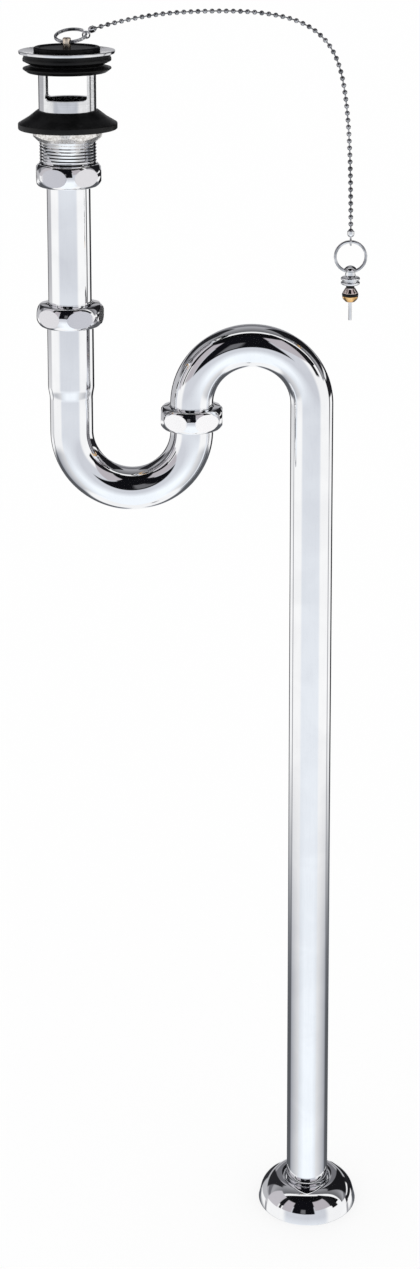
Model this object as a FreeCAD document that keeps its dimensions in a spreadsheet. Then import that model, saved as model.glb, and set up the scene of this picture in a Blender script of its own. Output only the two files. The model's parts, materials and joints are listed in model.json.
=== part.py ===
# Floor S-trap for a washbasin: waste with plug and chain, U-bend, S-bend, floor escutcheon.
# Millimetres, +Z up. The origin is on the drain's axis, on the underside of its flange.
import FreeCAD, Part
import math
import os
import Sketcher

os.makedirs("parts", exist_ok=True)
doc = FreeCAD.newDocument("STrap")
sheet = doc.addObject("Spreadsheet::Sheet", "Sizes")


class Size:
    # A number that remembers the sheet formula it comes from.
    def __init__(self, value, text):
        self.value = float(value)
        self.text = text

    def __add__(self, other):
        other = asSize(other)
        return Size(self.value + other.value, f"({self.text} + {other.text})")

    def __sub__(self, other):
        other = asSize(other)
        return Size(self.value - other.value, f"({self.text} - {other.text})")

    def __mul__(self, other):
        other = asSize(other)
        return Size(self.value * other.value, f"({self.text} * {other.text})")

    def __truediv__(self, other):
        other = asSize(other)
        return Size(self.value / other.value, f"({self.text} / {other.text})")

    def __neg__(self):
        return Size(-self.value, f"(-{self.text})")


def asSize(number):
    if isinstance(number, Size):
        return number
    return Size(number, f"{number:.9f}")


sizeCount = 0


def size(name, value):
    # Writes one driving dimension to the sheet and returns it.
    global sizeCount
    sizeCount += 1
    sheet.set(f"A{sizeCount}", name)
    sheet.set(f"B{sizeCount}", str(value))
    sheet.setAlias(f"B{sizeCount}", name)
    return Size(value, f"Sizes.{name}")


zero = Size(0, "0")

# Tubes and fits
pipeRadius = size("pipeRadius", 16)
pipeWall = size("pipeWall", 1.0)
slipFit = size("slipFit", 0.3)
threadFit = size("threadFit", 0.3)
closeFit = size("closeFit", 0.05)
trapBendRadius = size("trapBendRadius", 44.5)

# Drain body
flangeRadius = size("flangeRadius", 35)
flangeRimRise = size("flangeRimRise", 2.4)
flangeRimUnder = size("flangeRimUnder", 0.6)
flangeRimWidth = size("flangeRimWidth", 3)
seatRise = size("seatRise", 1.6)
bodyRadius = size("bodyRadius", 20.95)
bodyBore = size("bodyBore", 17)
bodyLength = size("bodyLength", 88)
windowWidth = size("windowWidth", 30)
windowHeight = size("windowHeight", 19.6)
windowCorner = size("windowCorner", 2.5)

# Basin seals and lock nut
packingLip = size("packingLip", 32)
packingWaist = size("packingWaist", 26.8)
packingHeight = size("packingHeight", 13.4)
packingEdge = size("packingEdge", 30.6)
packingFoot = size("packingFoot", 28.6)
packingLipEdge = size("packingLipEdge", 1.6)
packingLipSlope = size("packingLipSlope", 2.6)
packingGroove = size("packingGroove", 1.2)
packingGrooveLevel = size("packingGrooveLevel", 8.2)
basinGap = size("basinGap", 27.6)
coneTopWall = size("coneTopWall", 1.4)
coneRimRadius = size("coneRimRadius", 36)
coneHeight = size("coneHeight", 9.4)
coneRimHeight = size("coneRimHeight", 4.2)
slipWasherRadius = size("slipWasherRadius", 27.6)
slipWasherThick = size("slipWasherThick", 1.2)
lockNutFlats = size("lockNutFlats", 49)
lockNutRadius = size("lockNutRadius", 26.8)
lockNutBand = size("lockNutBand", 3.2)
lockNutHeight = size("lockNutHeight", 10.6)
lockNutEndWall = size("lockNutEndWall", 1.2)

# Slip nuts
nutHeight = size("nutHeight", 16.5)
nutFlats = size("nutFlats", 45.5)
nutRadius = size("nutRadius", 24.8)
nutEndDrop = size("nutEndDrop", 3.3)
outletNutFlats = size("outletNutFlats", 44.5)
outletNutRadius = size("outletNutRadius", 24.2)
nutLip = size("nutLip", 4.2)
ferruleRadius = size("ferruleRadius", 20.6)
outletFerruleRadius = size("outletFerruleRadius", 20.2)
tailNutTurn = size("tailNutTurn", -17)
inletNutTurn = size("inletNutTurn", 14)
outletNutTurn = size("outletNutTurn", 30)
slipRingThick = size("slipRingThick", 1.2)
slipPackingThick = size("slipPackingThick", 3)
tailPackingThick = size("tailPackingThick", 2.2)
collarThick = size("collarThick", 2)
collarRadius = size("collarRadius", 20)

# Heights of the trap below the flange
inletNutTop = size("inletNutTop", 184)
tailInsert = size("tailInsert", 34.6)
socketWall = size("socketWall", 1.0)
socketFit = size("socketFit", 0.5)
socketLength = size("socketLength", 57.6)
neckHeight = size("neckHeight", 3.2)
neckToBend = size("neckToBend", 27.8)
outletStub = size("outletStub", 6)
outletNutRise = size("outletNutRise", 13)
pipeEndGap = size("pipeEndGap", 1)
crownRun = size("crownRun", 13.3)
floorLevel = size("floorLevel", 910)

# Escutcheon
escutcheonRadius = size("escutcheonRadius", 38)
escutcheonEdge = size("escutcheonEdge", 3)
escutcheonLip = size("escutcheonLip", 4.5)
escutcheonWall = size("escutcheonWall", 1)

# Plug
plugRadius = size("plugRadius", 24)
plugBrim = size("plugBrim", 3.4)
plugRound = size("plugRound", 1.1)
plugDish = size("plugDish", 0.9)
plugDishRadius = size("plugDishRadius", 21.4)
plugDepth = size("plugDepth", 11)
plugFit = size("plugFit", 0.5)
plugTaper = size("plugTaper", 1.2)
postRadius = size("postRadius", 3)
postHeight = size("postHeight", 7.4)
postShank = size("postShank", 2)
postHead = size("postHead", 3.2)
postHeadThick = size("postHeadThick", 1)
postEyeRise = size("postEyeRise", 4.1)
postEyeRadius = size("postEyeRadius", 2.1)
plugWasherRadius = size("plugWasherRadius", 6.5)
plugWasherThick = size("plugWasherThick", 1)

# Split rings
ringRadius = size("ringRadius", 11.2)
ringWire = size("ringWire", 1.6)
ringWidth = size("ringWidth", 2.4)
ringTilt = size("ringTilt", 18.5)
ringBearing = size("ringBearing", -12)
couplingBearing = size("couplingBearing", 10)

# Chain, its couplings and stud
beadRadius = size("beadRadius", 1.8)
neckRadius = size("neckRadius", 0.55)
bellRadius = size("bellRadius", 2.6)
bellLength = size("bellLength", 2.2)
endReach = size("endReach", 8)
loopRadius = size("loopRadius", 2.6)
loopWire = size("loopWire", 0.6)
hangReach = size("hangReach", 205.6)
studRingLevel = size("studRingLevel", 149.4)
eyeRadius = size("eyeRadius", 2.5)
eyeHeadRadius = size("eyeHeadRadius", 4.3)
eyeHeadWall = size("eyeHeadWall", 0.3)
eyeHeadDome = size("eyeHeadDome", 1.8)
eyeHeadFoot = size("eyeHeadFoot", 1.1)
studNeck = size("studNeck", 3.1)
studDiscRadius = size("studDiscRadius", 7)
studDiscThick = size("studDiscThick", 2.4)
studGroove = size("studGroove", 0.8)
studShankRadius = size("studShankRadius", 1.5)
studPinRadius = size("studPinRadius", 1.3)
studPinLength = size("studPinLength", 14)
studWasherThick = size("studWasherThick", 2.6)
studConeHeight = size("studConeHeight", 4)
studConeRadius = size("studConeRadius", 6)
studSealThick = size("studSealThick", 2)
studNutHeight = size("studNutHeight", 4.4)
studNutEnd = size("studNutEnd", 3.6)
doc.recompute()

pieces = []


def newBody(label):
    body = doc.addObject("PartDesign::Body", label)
    body.Label = label
    pieces.append(body)
    return body


def newSketch(body, name, role):
    sketch = body.newObject("Sketcher::SketchObject", name)
    plane = next(f for f in body.Origin.OriginFeatures if f.Role == role)
    sketch.AttachmentSupport = (plane, [""])
    sketch.MapMode = "FlatFace"
    return sketch


def bindPoint(sketch, edge, end, x, y):
    # Holds one point of a sketch at two sheet formulas; a zero puts it on the sketch's axis.
    for kind, distance, axis in (("DistanceX", x, -2), ("DistanceY", y, -1)):
        distance = asSize(distance)
        if abs(distance.value) < 1e-9:
            sketch.addConstraint(Sketcher.Constraint("PointOnObject", edge, end, axis))
            continue
        index = sketch.addConstraint(Sketcher.Constraint(kind, -1, 1, edge, end, distance.value))
        sketch.setExpression(f"Constraints[{index}]", distance.text)


def arcBetween(start, end, radius, side):
    # The lesser arc from start to end, with its centre on the left (side 1) or right (-1).
    chord = end - start
    middle = (start + end) * 0.5
    reach = math.sqrt(max(radius * radius - chord.Length * chord.Length / 4, 0))
    left = FreeCAD.Vector(-chord.y, chord.x, 0).normalize()
    centre = middle + left * reach * side
    first, last = (start, end) if side > 0 else (end, start)
    a0 = math.atan2(first.y - centre.y, first.x - centre.x)
    a1 = math.atan2(last.y - centre.y, last.x - centre.x)
    circle = Part.Circle(centre, FreeCAD.Vector(0, 0, 1), radius)
    return Part.ArcOfCircle(circle, a0, a1 if a1 > a0 else a1 + 2 * math.pi)


def drawOutline(sketch, corners, closed=True):
    # Each corner is (x, y), or (x, y, radius, side) where an arc leaves it.
    spots = [FreeCAD.Vector(asSize(c[0]).value, asSize(c[1]).value, 0) for c in corners]
    count = len(corners) if closed else len(corners) - 1
    ends = []
    for i in range(count):
        start = spots[i]
        end = spots[(i + 1) % len(corners)]
        if len(corners[i]) == 4:
            radius = asSize(corners[i][2])
            side = corners[i][3]
            edge = sketch.addGeometry(arcBetween(start, end, radius.value, side))
            index = sketch.addConstraint(Sketcher.Constraint("Radius", edge, radius.value))
            sketch.setExpression(f"Constraints[{index}]", radius.text)
            ends.append((edge, 1, 2) if side > 0 else (edge, 2, 1))
        else:
            edge = sketch.addGeometry(Part.LineSegment(start, end))
            ends.append((edge, 1, 2))
    for i in range(count):
        edge, first, last = ends[i]
        bindPoint(sketch, edge, first, corners[i][0], corners[i][1])
        if closed or i + 1 < count:
            follower = ends[(i + 1) % count]
            sketch.addConstraint(Sketcher.Constraint("Coincident", edge, last, follower[0], follower[1]))
        else:
            bindPoint(sketch, edge, last, corners[i + 1][0], corners[i + 1][1])


def drawCircle(sketch, x, y, radius):
    centre = FreeCAD.Vector(asSize(x).value, asSize(y).value, 0)
    edge = sketch.addGeometry(Part.Circle(centre, FreeCAD.Vector(0, 0, 1), radius.value))
    bindPoint(sketch, edge, 3, x, y)
    index = sketch.addConstraint(Sketcher.Constraint("Radius", edge, radius.value))
    sketch.setExpression(f"Constraints[{index}]", radius.text)


def revolve(body, name, corners):
    # Turns an outline of (radius, height) corners about the body's upright axis.
    sketch = newSketch(body, name + "Section", "XZ_Plane")
    drawOutline(sketch, corners)
    turned = body.newObject("PartDesign::Revolution", name)
    turned.Profile = sketch
    turned.ReferenceAxis = (sketch, ["V_Axis"])
    turned.Angle = 360
    return turned


def turnedPiece(label, corners):
    body = newBody(label)
    revolve(body, "Turned", corners)
    return body


def cutThrough(body, name, sketch):
    pocket = body.newObject("PartDesign::Pocket", name)
    pocket.Profile = sketch
    pocket.Type = "ThroughAll"
    pocket.Midplane = True
    return pocket


def place(body, x=zero, y=zero, z=zero, turn=None):
    for axis, distance in (("x", x), ("y", y), ("z", z)):
        distance = asSize(distance)
        if distance.text != "0":
            body.setExpression(f"Placement.Base.{axis}", distance.text)
    if turn is not None:
        turned = FreeCAD.Rotation(FreeCAD.Vector(0, 0, 1), turn.value)
        body.Placement = FreeCAD.Placement(FreeCAD.Vector(), turned)
        body.setExpression("Placement.Rotation.Angle", turn.text)


def washer(label, inner, outer, top, bottom):
    return turnedPiece(label, [(inner, top), (outer, top), (outer, bottom), (inner, bottom)])


def cutFlats(body, flats, clear):
    # Takes six flats off a turned nut: everything between the hexagon and a wide circle.
    sketch = newSketch(body, "Flats", "XY_Plane")
    half = flats / 2
    corner = flats * (1 / math.sqrt(3))
    hexagon = [
        (corner / 2, -half),
        (corner, zero),
        (corner / 2, half),
        (-(corner / 2), half),
        (-corner, zero),
        (-(corner / 2), -half),
    ]
    drawOutline(sketch, hexagon)
    drawCircle(sketch, zero, zero, clear)
    return cutThrough(body, "FlatCut", sketch)


# Drain body: flange, threaded tube and two opposite windows, cast in one
drain = newBody("drain_body")
rimRound = (flangeRimRise - flangeRimUnder) / 2
revolve(drain, "Casting", [
    (bodyBore, seatRise),
    (plugRadius + plugFit, seatRise),
    (flangeRadius - rimRound, flangeRimRise, rimRound, -1),
    (flangeRadius, flangeRimRise - rimRound, rimRound, -1),
    (flangeRadius - rimRound, flangeRimUnder),
    (flangeRadius - flangeRimWidth, zero),
    (bodyRadius, zero),
    (bodyRadius, -bodyLength),
    (bodyBore, -bodyLength),
])
windowTop = -packingHeight
windowBottom = windowTop - windowHeight
window = newSketch(drain, "WindowShape", "XZ_Plane")
drawOutline(window, [
    (windowWidth / 2, windowTop),
    (-(windowWidth / 2), windowTop),
    (-(windowWidth / 2), windowBottom + windowCorner, windowCorner, 1),
    (windowCorner - windowWidth / 2, windowBottom),
    (windowWidth / 2 - windowCorner, windowBottom, windowCorner, 1),
    (windowWidth / 2, windowBottom + windowCorner),
])
cutThrough(drain, "Windows", window)

# Flange packing: two lips with a round groove between them
sealBore = bodyRadius + closeFit
grooveTop = packingGroove / 2 - packingGrooveLevel
grooveBottom = grooveTop - packingGroove
upperLipBottom = grooveTop + packingLipSlope
lowerLipTop = grooveBottom - packingLipSlope / 2
turnedPiece("flange_packing", [
    (sealBore, zero),
    (packingEdge, zero),
    (packingLip, upperLipBottom + packingLipEdge),
    (packingLip, upperLipBottom),
    (packingWaist, grooveTop, packingGroove, 1),
    (packingWaist, grooveBottom),
    (packingLip, lowerLipTop),
    (packingLip, lowerLipTop - packingLipEdge / 2),
    (packingFoot, -packingHeight),
    (sealBore, -packingHeight),
])

# Cone gasket, slip washer and lock nut under the basin
coneTop = -(packingHeight + basinGap)
coneRimTop = coneTop - coneHeight
coneBottom = coneRimTop - coneRimHeight
turnedPiece("cone_gasket", [
    (sealBore, coneTop),
    (bodyRadius + coneTopWall, coneTop),
    (coneRimRadius, coneRimTop),
    (coneRimRadius, coneBottom),
    (sealBore, coneBottom),
])
slipWasherBottom = coneBottom - slipWasherThick
washer("slip_washer", sealBore, slipWasherRadius, coneBottom, slipWasherBottom)
lockNutBottom = slipWasherBottom - lockNutHeight
lockNut = turnedPiece("lock_nut", [
    (sealBore, slipWasherBottom),
    (lockNutRadius, slipWasherBottom),
    (lockNutRadius, slipWasherBottom - lockNutBand),
    (bodyRadius + lockNutEndWall, lockNutBottom),
    (sealBore, lockNutBottom),
])
cutFlats(lockNut, lockNutFlats, lockNutRadius * 2)


def barrel(radius, top, bottom):
    # The rounded outside of a slip nut, from its bottom edge up to its top edge.
    drop = nutEndDrop
    half = nutHeight / 2
    bulge = (half * half + drop * drop) / (drop * 2)
    return [(radius - drop, bottom, bulge, 1), (radius - drop, top)]


def slipNut(label, radius, flats, threadRadius, top, lipOnTop):
    bottom = top - nutHeight
    hole = pipeRadius + slipFit
    bore = threadRadius + threadFit
    if lipOnTop:
        inside = [(hole, top), (hole, top - nutLip), (bore, top - nutLip), (bore, bottom)]
    else:
        lip = bottom + nutLip
        inside = [(bore, top), (bore, lip), (hole, lip), (hole, bottom)]
    nut = turnedPiece(label, inside + barrel(radius, top, bottom))
    cutFlats(nut, flats, radius * 2)
    return nut


# Tail nut holds the tailpiece's collar against the end of the drain body
tailPackingBottom = -bodyLength - tailPackingThick
collarBottom = tailPackingBottom - collarThick
tailNutTop = collarBottom - nutLip + nutHeight
tailNut = slipNut("tail_nut", nutRadius, nutFlats, bodyRadius, tailNutTop, False)
place(tailNut, turn=tailNutTurn)
pipeBore = pipeRadius - pipeWall
washer("tail_packing", pipeBore, collarRadius, -bodyLength, tailPackingBottom)


def slipSeals(name, ferrule, lipUnder):
    # The slip ring and the packing that the nut presses on the ferrule's mouth.
    inner = pipeRadius + slipFit
    ringBottom = lipUnder - slipRingThick
    packingBottom = ringBottom - slipPackingThick
    ring = washer(f"{name}_slip_ring", inner, ferrule - slipFit, lipUnder, ringBottom)
    packing = turnedPiece(f"{name}_packing", [
        (inner, ringBottom),
        (ferrule - slipFit, ringBottom),
        (ferrule - slipFit, packingBottom),
        (inner, packingBottom),
    ])
    return ring, packing, packingBottom


# Inlet slip joint on the tailpiece
inletNut = slipNut("inlet_slip_nut", nutRadius, nutFlats, ferruleRadius, -inletNutTop, True)
place(inletNut, turn=inletNutTurn)
_, _, socketTop = slipSeals("inlet", ferruleRadius, -inletNutTop - nutLip)
tailEnd = socketTop - tailInsert
turnedPiece("tailpiece", [
    (pipeBore, tailPackingBottom),
    (collarRadius, tailPackingBottom),
    (collarRadius, collarBottom),
    (pipeRadius, collarBottom),
    (pipeRadius, tailEnd),
    (pipeBore, tailEnd),
])

# U-bend: a bent tube whose inlet end is swaged out to a socket
socketBore = pipeRadius + socketFit
socketRadius = socketBore + socketWall
socketBottom = socketTop - socketLength
neckBottom = socketBottom - neckHeight
bendLevel = neckBottom - neckToBend
outletEnd = bendLevel + outletStub


def bentTube(body, start, bends, end):
    # Sweeps the tube's ring section along a line, a half turn and a line.
    x0, z0 = start
    spine = newSketch(body, "Centreline", "XZ_Plane")
    drawOutline(spine, [(x0, z0)] + bends + [end], closed=False)
    section = newSketch(body, "TubeSection", "XY_Plane")
    section.AttachmentOffset = FreeCAD.Placement(FreeCAD.Vector(0, 0, z0.value), FreeCAD.Rotation())
    section.setExpression("AttachmentOffset.Base.z", z0.text)
    drawCircle(section, x0, zero, pipeRadius)
    drawCircle(section, x0, zero, pipeBore)
    tube = body.newObject("PartDesign::AdditivePipe", "Tube")
    tube.Profile = section
    tube.Spine = (spine, ["Edge1", "Edge2", "Edge3", "Edge4"])
    return tube


riserX = trapBendRadius * 2
downX = trapBendRadius * 4
uBend = newBody("j_bend")
bentTube(uBend, (zero, neckBottom), [
    (zero, bendLevel, trapBendRadius, 1),
    (trapBendRadius, bendLevel - trapBendRadius, trapBendRadius, 1),
    (riserX, bendLevel),
], (riserX, outletEnd))
revolve(uBend, "Socket", [
    (socketBore, socketTop),
    (socketRadius, socketTop),
    (socketRadius, socketBottom),
    (pipeRadius, neckBottom),
    (pipeBore, neckBottom),
    (socketBore, socketBottom),
])
washer("inlet_ferrule", socketRadius + closeFit, ferruleRadius, socketTop, -inletNutTop - nutHeight)

# Outlet slip joint: the nut sits on a ferrule brazed to the U-bend's outlet
outletNutTop = outletEnd + outletNutRise
outletNut = slipNut(
    "outlet_slip_nut", outletNutRadius, outletNutFlats, outletFerruleRadius, outletNutTop, True
)
place(outletNut, x=riserX, turn=outletNutTurn)
outletRing, outletPacking, ferruleTop = slipSeals("outlet", outletFerruleRadius, outletNutTop - nutLip)
place(outletRing, x=riserX)
place(outletPacking, x=riserX)
ferruleBottom = outletNutTop - nutHeight
outletFerrule = turnedPiece("outlet_ferrule", [
    (pipeRadius + slipFit, ferruleTop),
    (outletFerruleRadius, ferruleTop),
    (outletFerruleRadius, ferruleBottom),
    (pipeRadius + closeFit, ferruleBottom),
    (pipeRadius + closeFit, outletEnd),
    (pipeRadius + slipFit, outletEnd),
])
place(outletFerrule, x=riserX)

# S-bend and down pipe, one tube
sPipe = newBody("s_pipe")
sPipeStart = outletEnd + pipeEndGap
crownLevel = sPipeStart + crownRun
bentTube(sPipe, (riserX, sPipeStart), [
    (riserX, crownLevel, trapBendRadius, -1),
    (trapBendRadius * 3, crownLevel + trapBendRadius, trapBendRadius, -1),
    (downX, crownLevel),
], (downX, -floorLevel))

# Escutcheon: a spun shell with a domed shoulder and a lip curled in to the pipe
lipHole = pipeRadius + slipFit
crestRadius = lipHole + escutcheonLip
escutcheonDome = escutcheonRadius - crestRadius
domeBase = escutcheonEdge - floorLevel
crest = domeBase + escutcheonDome
wall = escutcheonWall
escutcheon = turnedPiece("escutcheon", [
    (escutcheonRadius - wall, -floorLevel),
    (escutcheonRadius, -floorLevel),
    (escutcheonRadius, domeBase, escutcheonDome, 1),
    (crestRadius, crest, escutcheonLip, 1),
    (lipHole, crest - escutcheonLip),
    (lipHole + wall, crest - escutcheonLip, escutcheonLip - wall, -1),
    (crestRadius, crest - wall, escutcheonDome - wall, -1),
    (escutcheonRadius - wall, domeBase),
])
place(escutcheon, x=downX)

# Plug: rubber stopper with a dished top, on a brass post
plugTop = seatRise + plugBrim
dishFloor = plugTop - plugDish
throatRadius = bodyBore - plugFit
plugBottom = -plugDepth
turnedPiece("plug_stopper", [
    (postShank + closeFit, dishFloor),
    (plugDishRadius - plugDish, dishFloor),
    (plugDishRadius, plugTop),
    (plugRadius - plugRound, plugTop, plugRound, -1),
    (plugRadius, plugTop - plugRound),
    (plugRadius, seatRise),
    (throatRadius, seatRise),
    (throatRadius - plugTaper, plugBottom),
    (postShank + closeFit, plugBottom),
])
plugWasherBottom = plugBottom - plugWasherThick
washer("plug_washer", postShank + closeFit, plugWasherRadius, plugBottom, plugWasherBottom)
postTop = dishFloor + postHeight
post = turnedPiece("plug_post", [
    (zero, postTop),
    (postRadius - plugRound, postTop, plugRound, -1),
    (postRadius, postTop - plugRound),
    (postRadius, dishFloor),
    (postShank, dishFloor),
    (postShank, plugWasherBottom),
    (postHead, plugWasherBottom),
    (postHead, plugWasherBottom - postHeadThick),
    (zero, plugWasherBottom - postHeadThick),
])
postEyeLevel = dishFloor + postEyeRise
postEye = newSketch(post, "Eye", "YZ_Plane")
drawCircle(postEye, zero, postEyeLevel, postEyeRadius)
cutThrough(post, "EyeHole", postEye)
place(post, turn=ringBearing)


def splitRing(label):
    # Two turns of wire side by side, as one ring with a crease round its rim.
    wire = ringWire / 2
    half = ringWidth / 2
    coil = ringWidth / 4
    return turnedPiece(label, [
        (ringRadius - wire + coil, half),
        (ringRadius + wire - coil, half, coil, -1),
        (ringRadius + wire, half - coil),
        (ringRadius + wire - coil * 0.5, zero),
        (ringRadius + wire, coil - half, coil, -1),
        (ringRadius + wire - coil, -half),
        (ringRadius - wire + coil, -half, coil, -1),
        (ringRadius - wire, coil - half),
        (ringRadius - wire + coil * 0.5, zero),
        (ringRadius - wire, half - coil, coil, -1),
    ])


# The plug's ring leans back from the post's eye; the stud's ring hangs facing forward
tilt = FreeCAD.Rotation(FreeCAD.Vector(1, 0, 0), ringTilt.value)
bearing = FreeCAD.Rotation(FreeCAD.Vector(0, 0, 1), ringBearing.value)
plugRingTurn = bearing * tilt
eyeSpot = FreeCAD.Vector(0, 0, postEyeLevel.value)
plugRingCentre = eyeSpot + plugRingTurn.multVec(FreeCAD.Vector(0, ringRadius.value, 0))
plugRing = splitRing("plug_ring")
plugRing.Placement = FreeCAD.Placement(plugRingCentre, plugRingTurn)
stationRing = splitRing("stud_ring")
stationRing.Placement = FreeCAD.Placement(
    FreeCAD.Vector(hangReach.value, 0, -studRingLevel.value),
    FreeCAD.Rotation(FreeCAD.Vector(1, 0, 0), 90),
)

# Chain stud: eye, two discs and a pin, with its washer, cone, seal and nut
eyeLevel = -studRingLevel - ringRadius
headShoulder = eyeRadius + eyeHeadWall
headBottom = eyeLevel - headShoulder - eyeHeadFoot
headRound = (eyeHeadRadius * eyeHeadRadius + eyeHeadDome * eyeHeadDome) / (eyeHeadDome * 2)
upperDiscBottom = headBottom - studDiscThick
lowerDiscTop = upperDiscBottom - studGroove
discBottom = lowerDiscTop - studDiscThick
washerBottom = discBottom - studWasherThick
coneEnd = washerBottom - studConeHeight
sealBottom = coneEnd - studSealThick
studNutBottom = sealBottom - studNutHeight
stud = turnedPiece("chain_stud", [
    (zero, eyeLevel + headShoulder + eyeHeadDome, headRound, -1),
    (eyeHeadRadius, eyeLevel + headShoulder),
    (eyeHeadRadius, eyeLevel - headShoulder),
    (studNeck, headBottom),
    (studDiscRadius, headBottom),
    (studDiscRadius, upperDiscBottom),
    (studDiscRadius - studGroove, upperDiscBottom),
    (studDiscRadius - studGroove, lowerDiscTop),
    (studDiscRadius, lowerDiscTop),
    (studDiscRadius, discBottom),
    (studShankRadius, discBottom),
    (studShankRadius, studNutBottom),
    (studPinRadius, studNutBottom),
    (studPinRadius, studNutBottom - studPinLength),
    (zero, studNutBottom - studPinLength),
])
studEye = newSketch(stud, "Eye", "YZ_Plane")
drawCircle(studEye, zero, eyeLevel, eyeRadius)
cutThrough(stud, "EyeHole", studEye)
shankBore = studShankRadius + closeFit
studWasher = washer("stud_washer", shankBore, studNeck, discBottom, washerBottom)
studCone = turnedPiece("stud_cone", [
    (shankBore, washerBottom),
    (studNutEnd, washerBottom),
    (studConeRadius, coneEnd),
    (shankBore, coneEnd),
])
studSeal = washer("stud_seal", shankBore, studConeRadius, coneEnd, sealBottom)
studNut = turnedPiece("stud_nut", [
    (shankBore, sealBottom),
    (studConeRadius, sealBottom),
    (studNutEnd, studNutBottom),
    (shankBore, studNutBottom),
])
for piece in (stud, studWasher, studCone, studSeal, studNut):
    place(piece, x=hangReach)


# Chain: its route is a list of points joined by straight runs and arcs
def addPiece(label, shape, spot=FreeCAD.Vector()):
    piece = doc.addObject("Part::Feature", label)
    piece.Label = label
    piece.Shape = shape
    piece.Placement = FreeCAD.Placement(spot, FreeCAD.Rotation())
    pieces.append(piece)
    return piece


def routeWire(points):
    # Rounds each inner point with the largest arc that its two runs allow.
    share = 0.45
    edges = []
    radii = []
    last = points[0]
    for before, corner, after in zip(points, points[1:], points[2:]):
        back = (before - corner).normalize()
        ahead = (after - corner).normalize()
        run = min(before.distanceToPoint(corner), corner.distanceToPoint(after)) * share
        halfTurn = (math.pi - back.getAngle(ahead)) / 2
        radius = run / math.tan(halfTurn)
        middle = (back + ahead).normalize()
        toCentre = math.hypot(radius, run)
        arcMiddle = corner + middle * (toCentre - radius)
        start = corner + back * run
        end = corner + ahead * run
        edges.append(Part.LineSegment(last, start).toShape())
        edges.append(Part.Arc(start, arcMiddle, end).toShape())
        radii.append(round(radius, 1))
        last = end
    edges.append(Part.LineSegment(last, points[-1]).toShape())
    return Part.Wire(edges), radii


def coupling(label, ringSpot, wireWay, mouth, chainWay):
    # A loop round the ring's wire, a neck, and a bell that grips the chain's last bead.
    loop = Part.makeTorus(loopRadius.value, loopWire.value, ringSpot, wireWay)
    domeCentre = mouth - chainWay * bellLength.value
    way = (domeCentre - ringSpot).normalize()
    neckStart = ringSpot + way * loopRadius.value
    reach = domeCentre.distanceToPoint(neckStart)
    neck = Part.makeCylinder(neckRadius.value, reach, neckStart, way)
    dome = Part.makeSphere(bellRadius.value, domeCentre)
    skirt = Part.makeCylinder(bellRadius.value, bellLength.value, domeCentre, chainWay)
    beyond = Part.makeCylinder(bellRadius.value * 2, bellRadius.value * 2, mouth, chainWay)
    return addPiece(label, loop.fuse([neck, dome, skirt]).cut(beyond).removeSplitter())


around = math.radians(couplingBearing.value)
ringReach = FreeCAD.Vector(math.cos(around), math.sin(around), 0) * ringRadius.value
ringWay = plugRingTurn.multVec(FreeCAD.Vector(-math.sin(around), math.cos(around), 0))
chainTopRing = plugRingCentre + plugRingTurn.multVec(ringReach)
chainTop = FreeCAD.Vector(19.4, 9.6, 16.9)
ringTop = FreeCAD.Vector(hangReach.value, 0, ringRadius.value - studRingLevel.value)
chainEnd = ringTop + FreeCAD.Vector(0, 0, endReach.value)
chainPoints = [
    chainTop,
    FreeCAD.Vector(25.2, 9.4, 18.9),
    FreeCAD.Vector(36, 8.8, 21.6),
    FreeCAD.Vector(50.4, 7.6, 25),
    FreeCAD.Vector(69.6, 5.6, 28.2),
    FreeCAD.Vector(88.8, 3.6, 29.7),
    FreeCAD.Vector(108, 2, 30.4),
    FreeCAD.Vector(127.2, 0.8, 30.2),
    FreeCAD.Vector(142, 0.2, 29),
    FreeCAD.Vector(156.4, 0, 26.4),
    FreeCAD.Vector(166.6, 0, 23.2),
    FreeCAD.Vector(176.4, 0, 18.2),
    FreeCAD.Vector(185.4, 0, 10.6),
    FreeCAD.Vector(192, 0, 1.4),
    FreeCAD.Vector(197, 0, -11),
    FreeCAD.Vector(200.4, 0, -27),
    FreeCAD.Vector(203, 0, -49.4),
    FreeCAD.Vector(204.6, 0, -76),
    FreeCAD.Vector(205.3, 0, -103),
    chainEnd,
]
route, radii = routeWire(chainPoints)
print("chain length", round(route.Length, 1), "arc radii", radii)
topWay = (chainPoints[1] - chainTop).normalize()
endWay = (chainPoints[-2] - chainEnd).normalize()
coupling("chain_top_coupling", chainTopRing, ringWay, chainTop, topWay)
coupling("chain_end_coupling", ringTop, FreeCAD.Vector(1, 0, 0), chainEnd, endWay)
section = Part.Wire(Part.makeCircle(beadRadius.value, chainTop, topWay))
chain = addPiece("bead_chain", route.makePipeShell([section], True, False))
straight = math.pi * beadRadius.value ** 2 * route.Length
print("chain volume", round(chain.Shape.Volume, 1), "section times length", round(straight, 1))

# Checks and files
doc.recompute()
faults = [o.Label for o in doc.Objects if "Invalid" in o.State or "Error" in o.State]
faults += [p.Label for p in pieces if p.Shape.isNull() or not p.Shape.isValid()]
if faults:
    raise RuntimeError(f"these pieces failed: {faults}")
for piece in pieces:
    piece.Shape.exportStep(f"parts/{piece.Label}.step")
    box = piece.Shape.BoundBox
    print(f"{piece.Label:20s} solids {len(piece.Shape.Solids)} volume {piece.Shape.Volume:9.0f}"
          f"  z {box.ZMin:8.1f} {box.ZMax:8.1f}  x {box.XMin:7.1f} {box.XMax:7.1f}")
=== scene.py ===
# Chromed floor S-trap with its basin waste, plug and bead chain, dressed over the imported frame.
import json
import math

import bmesh
import bpy
from mathutils import Matrix, Vector

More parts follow.
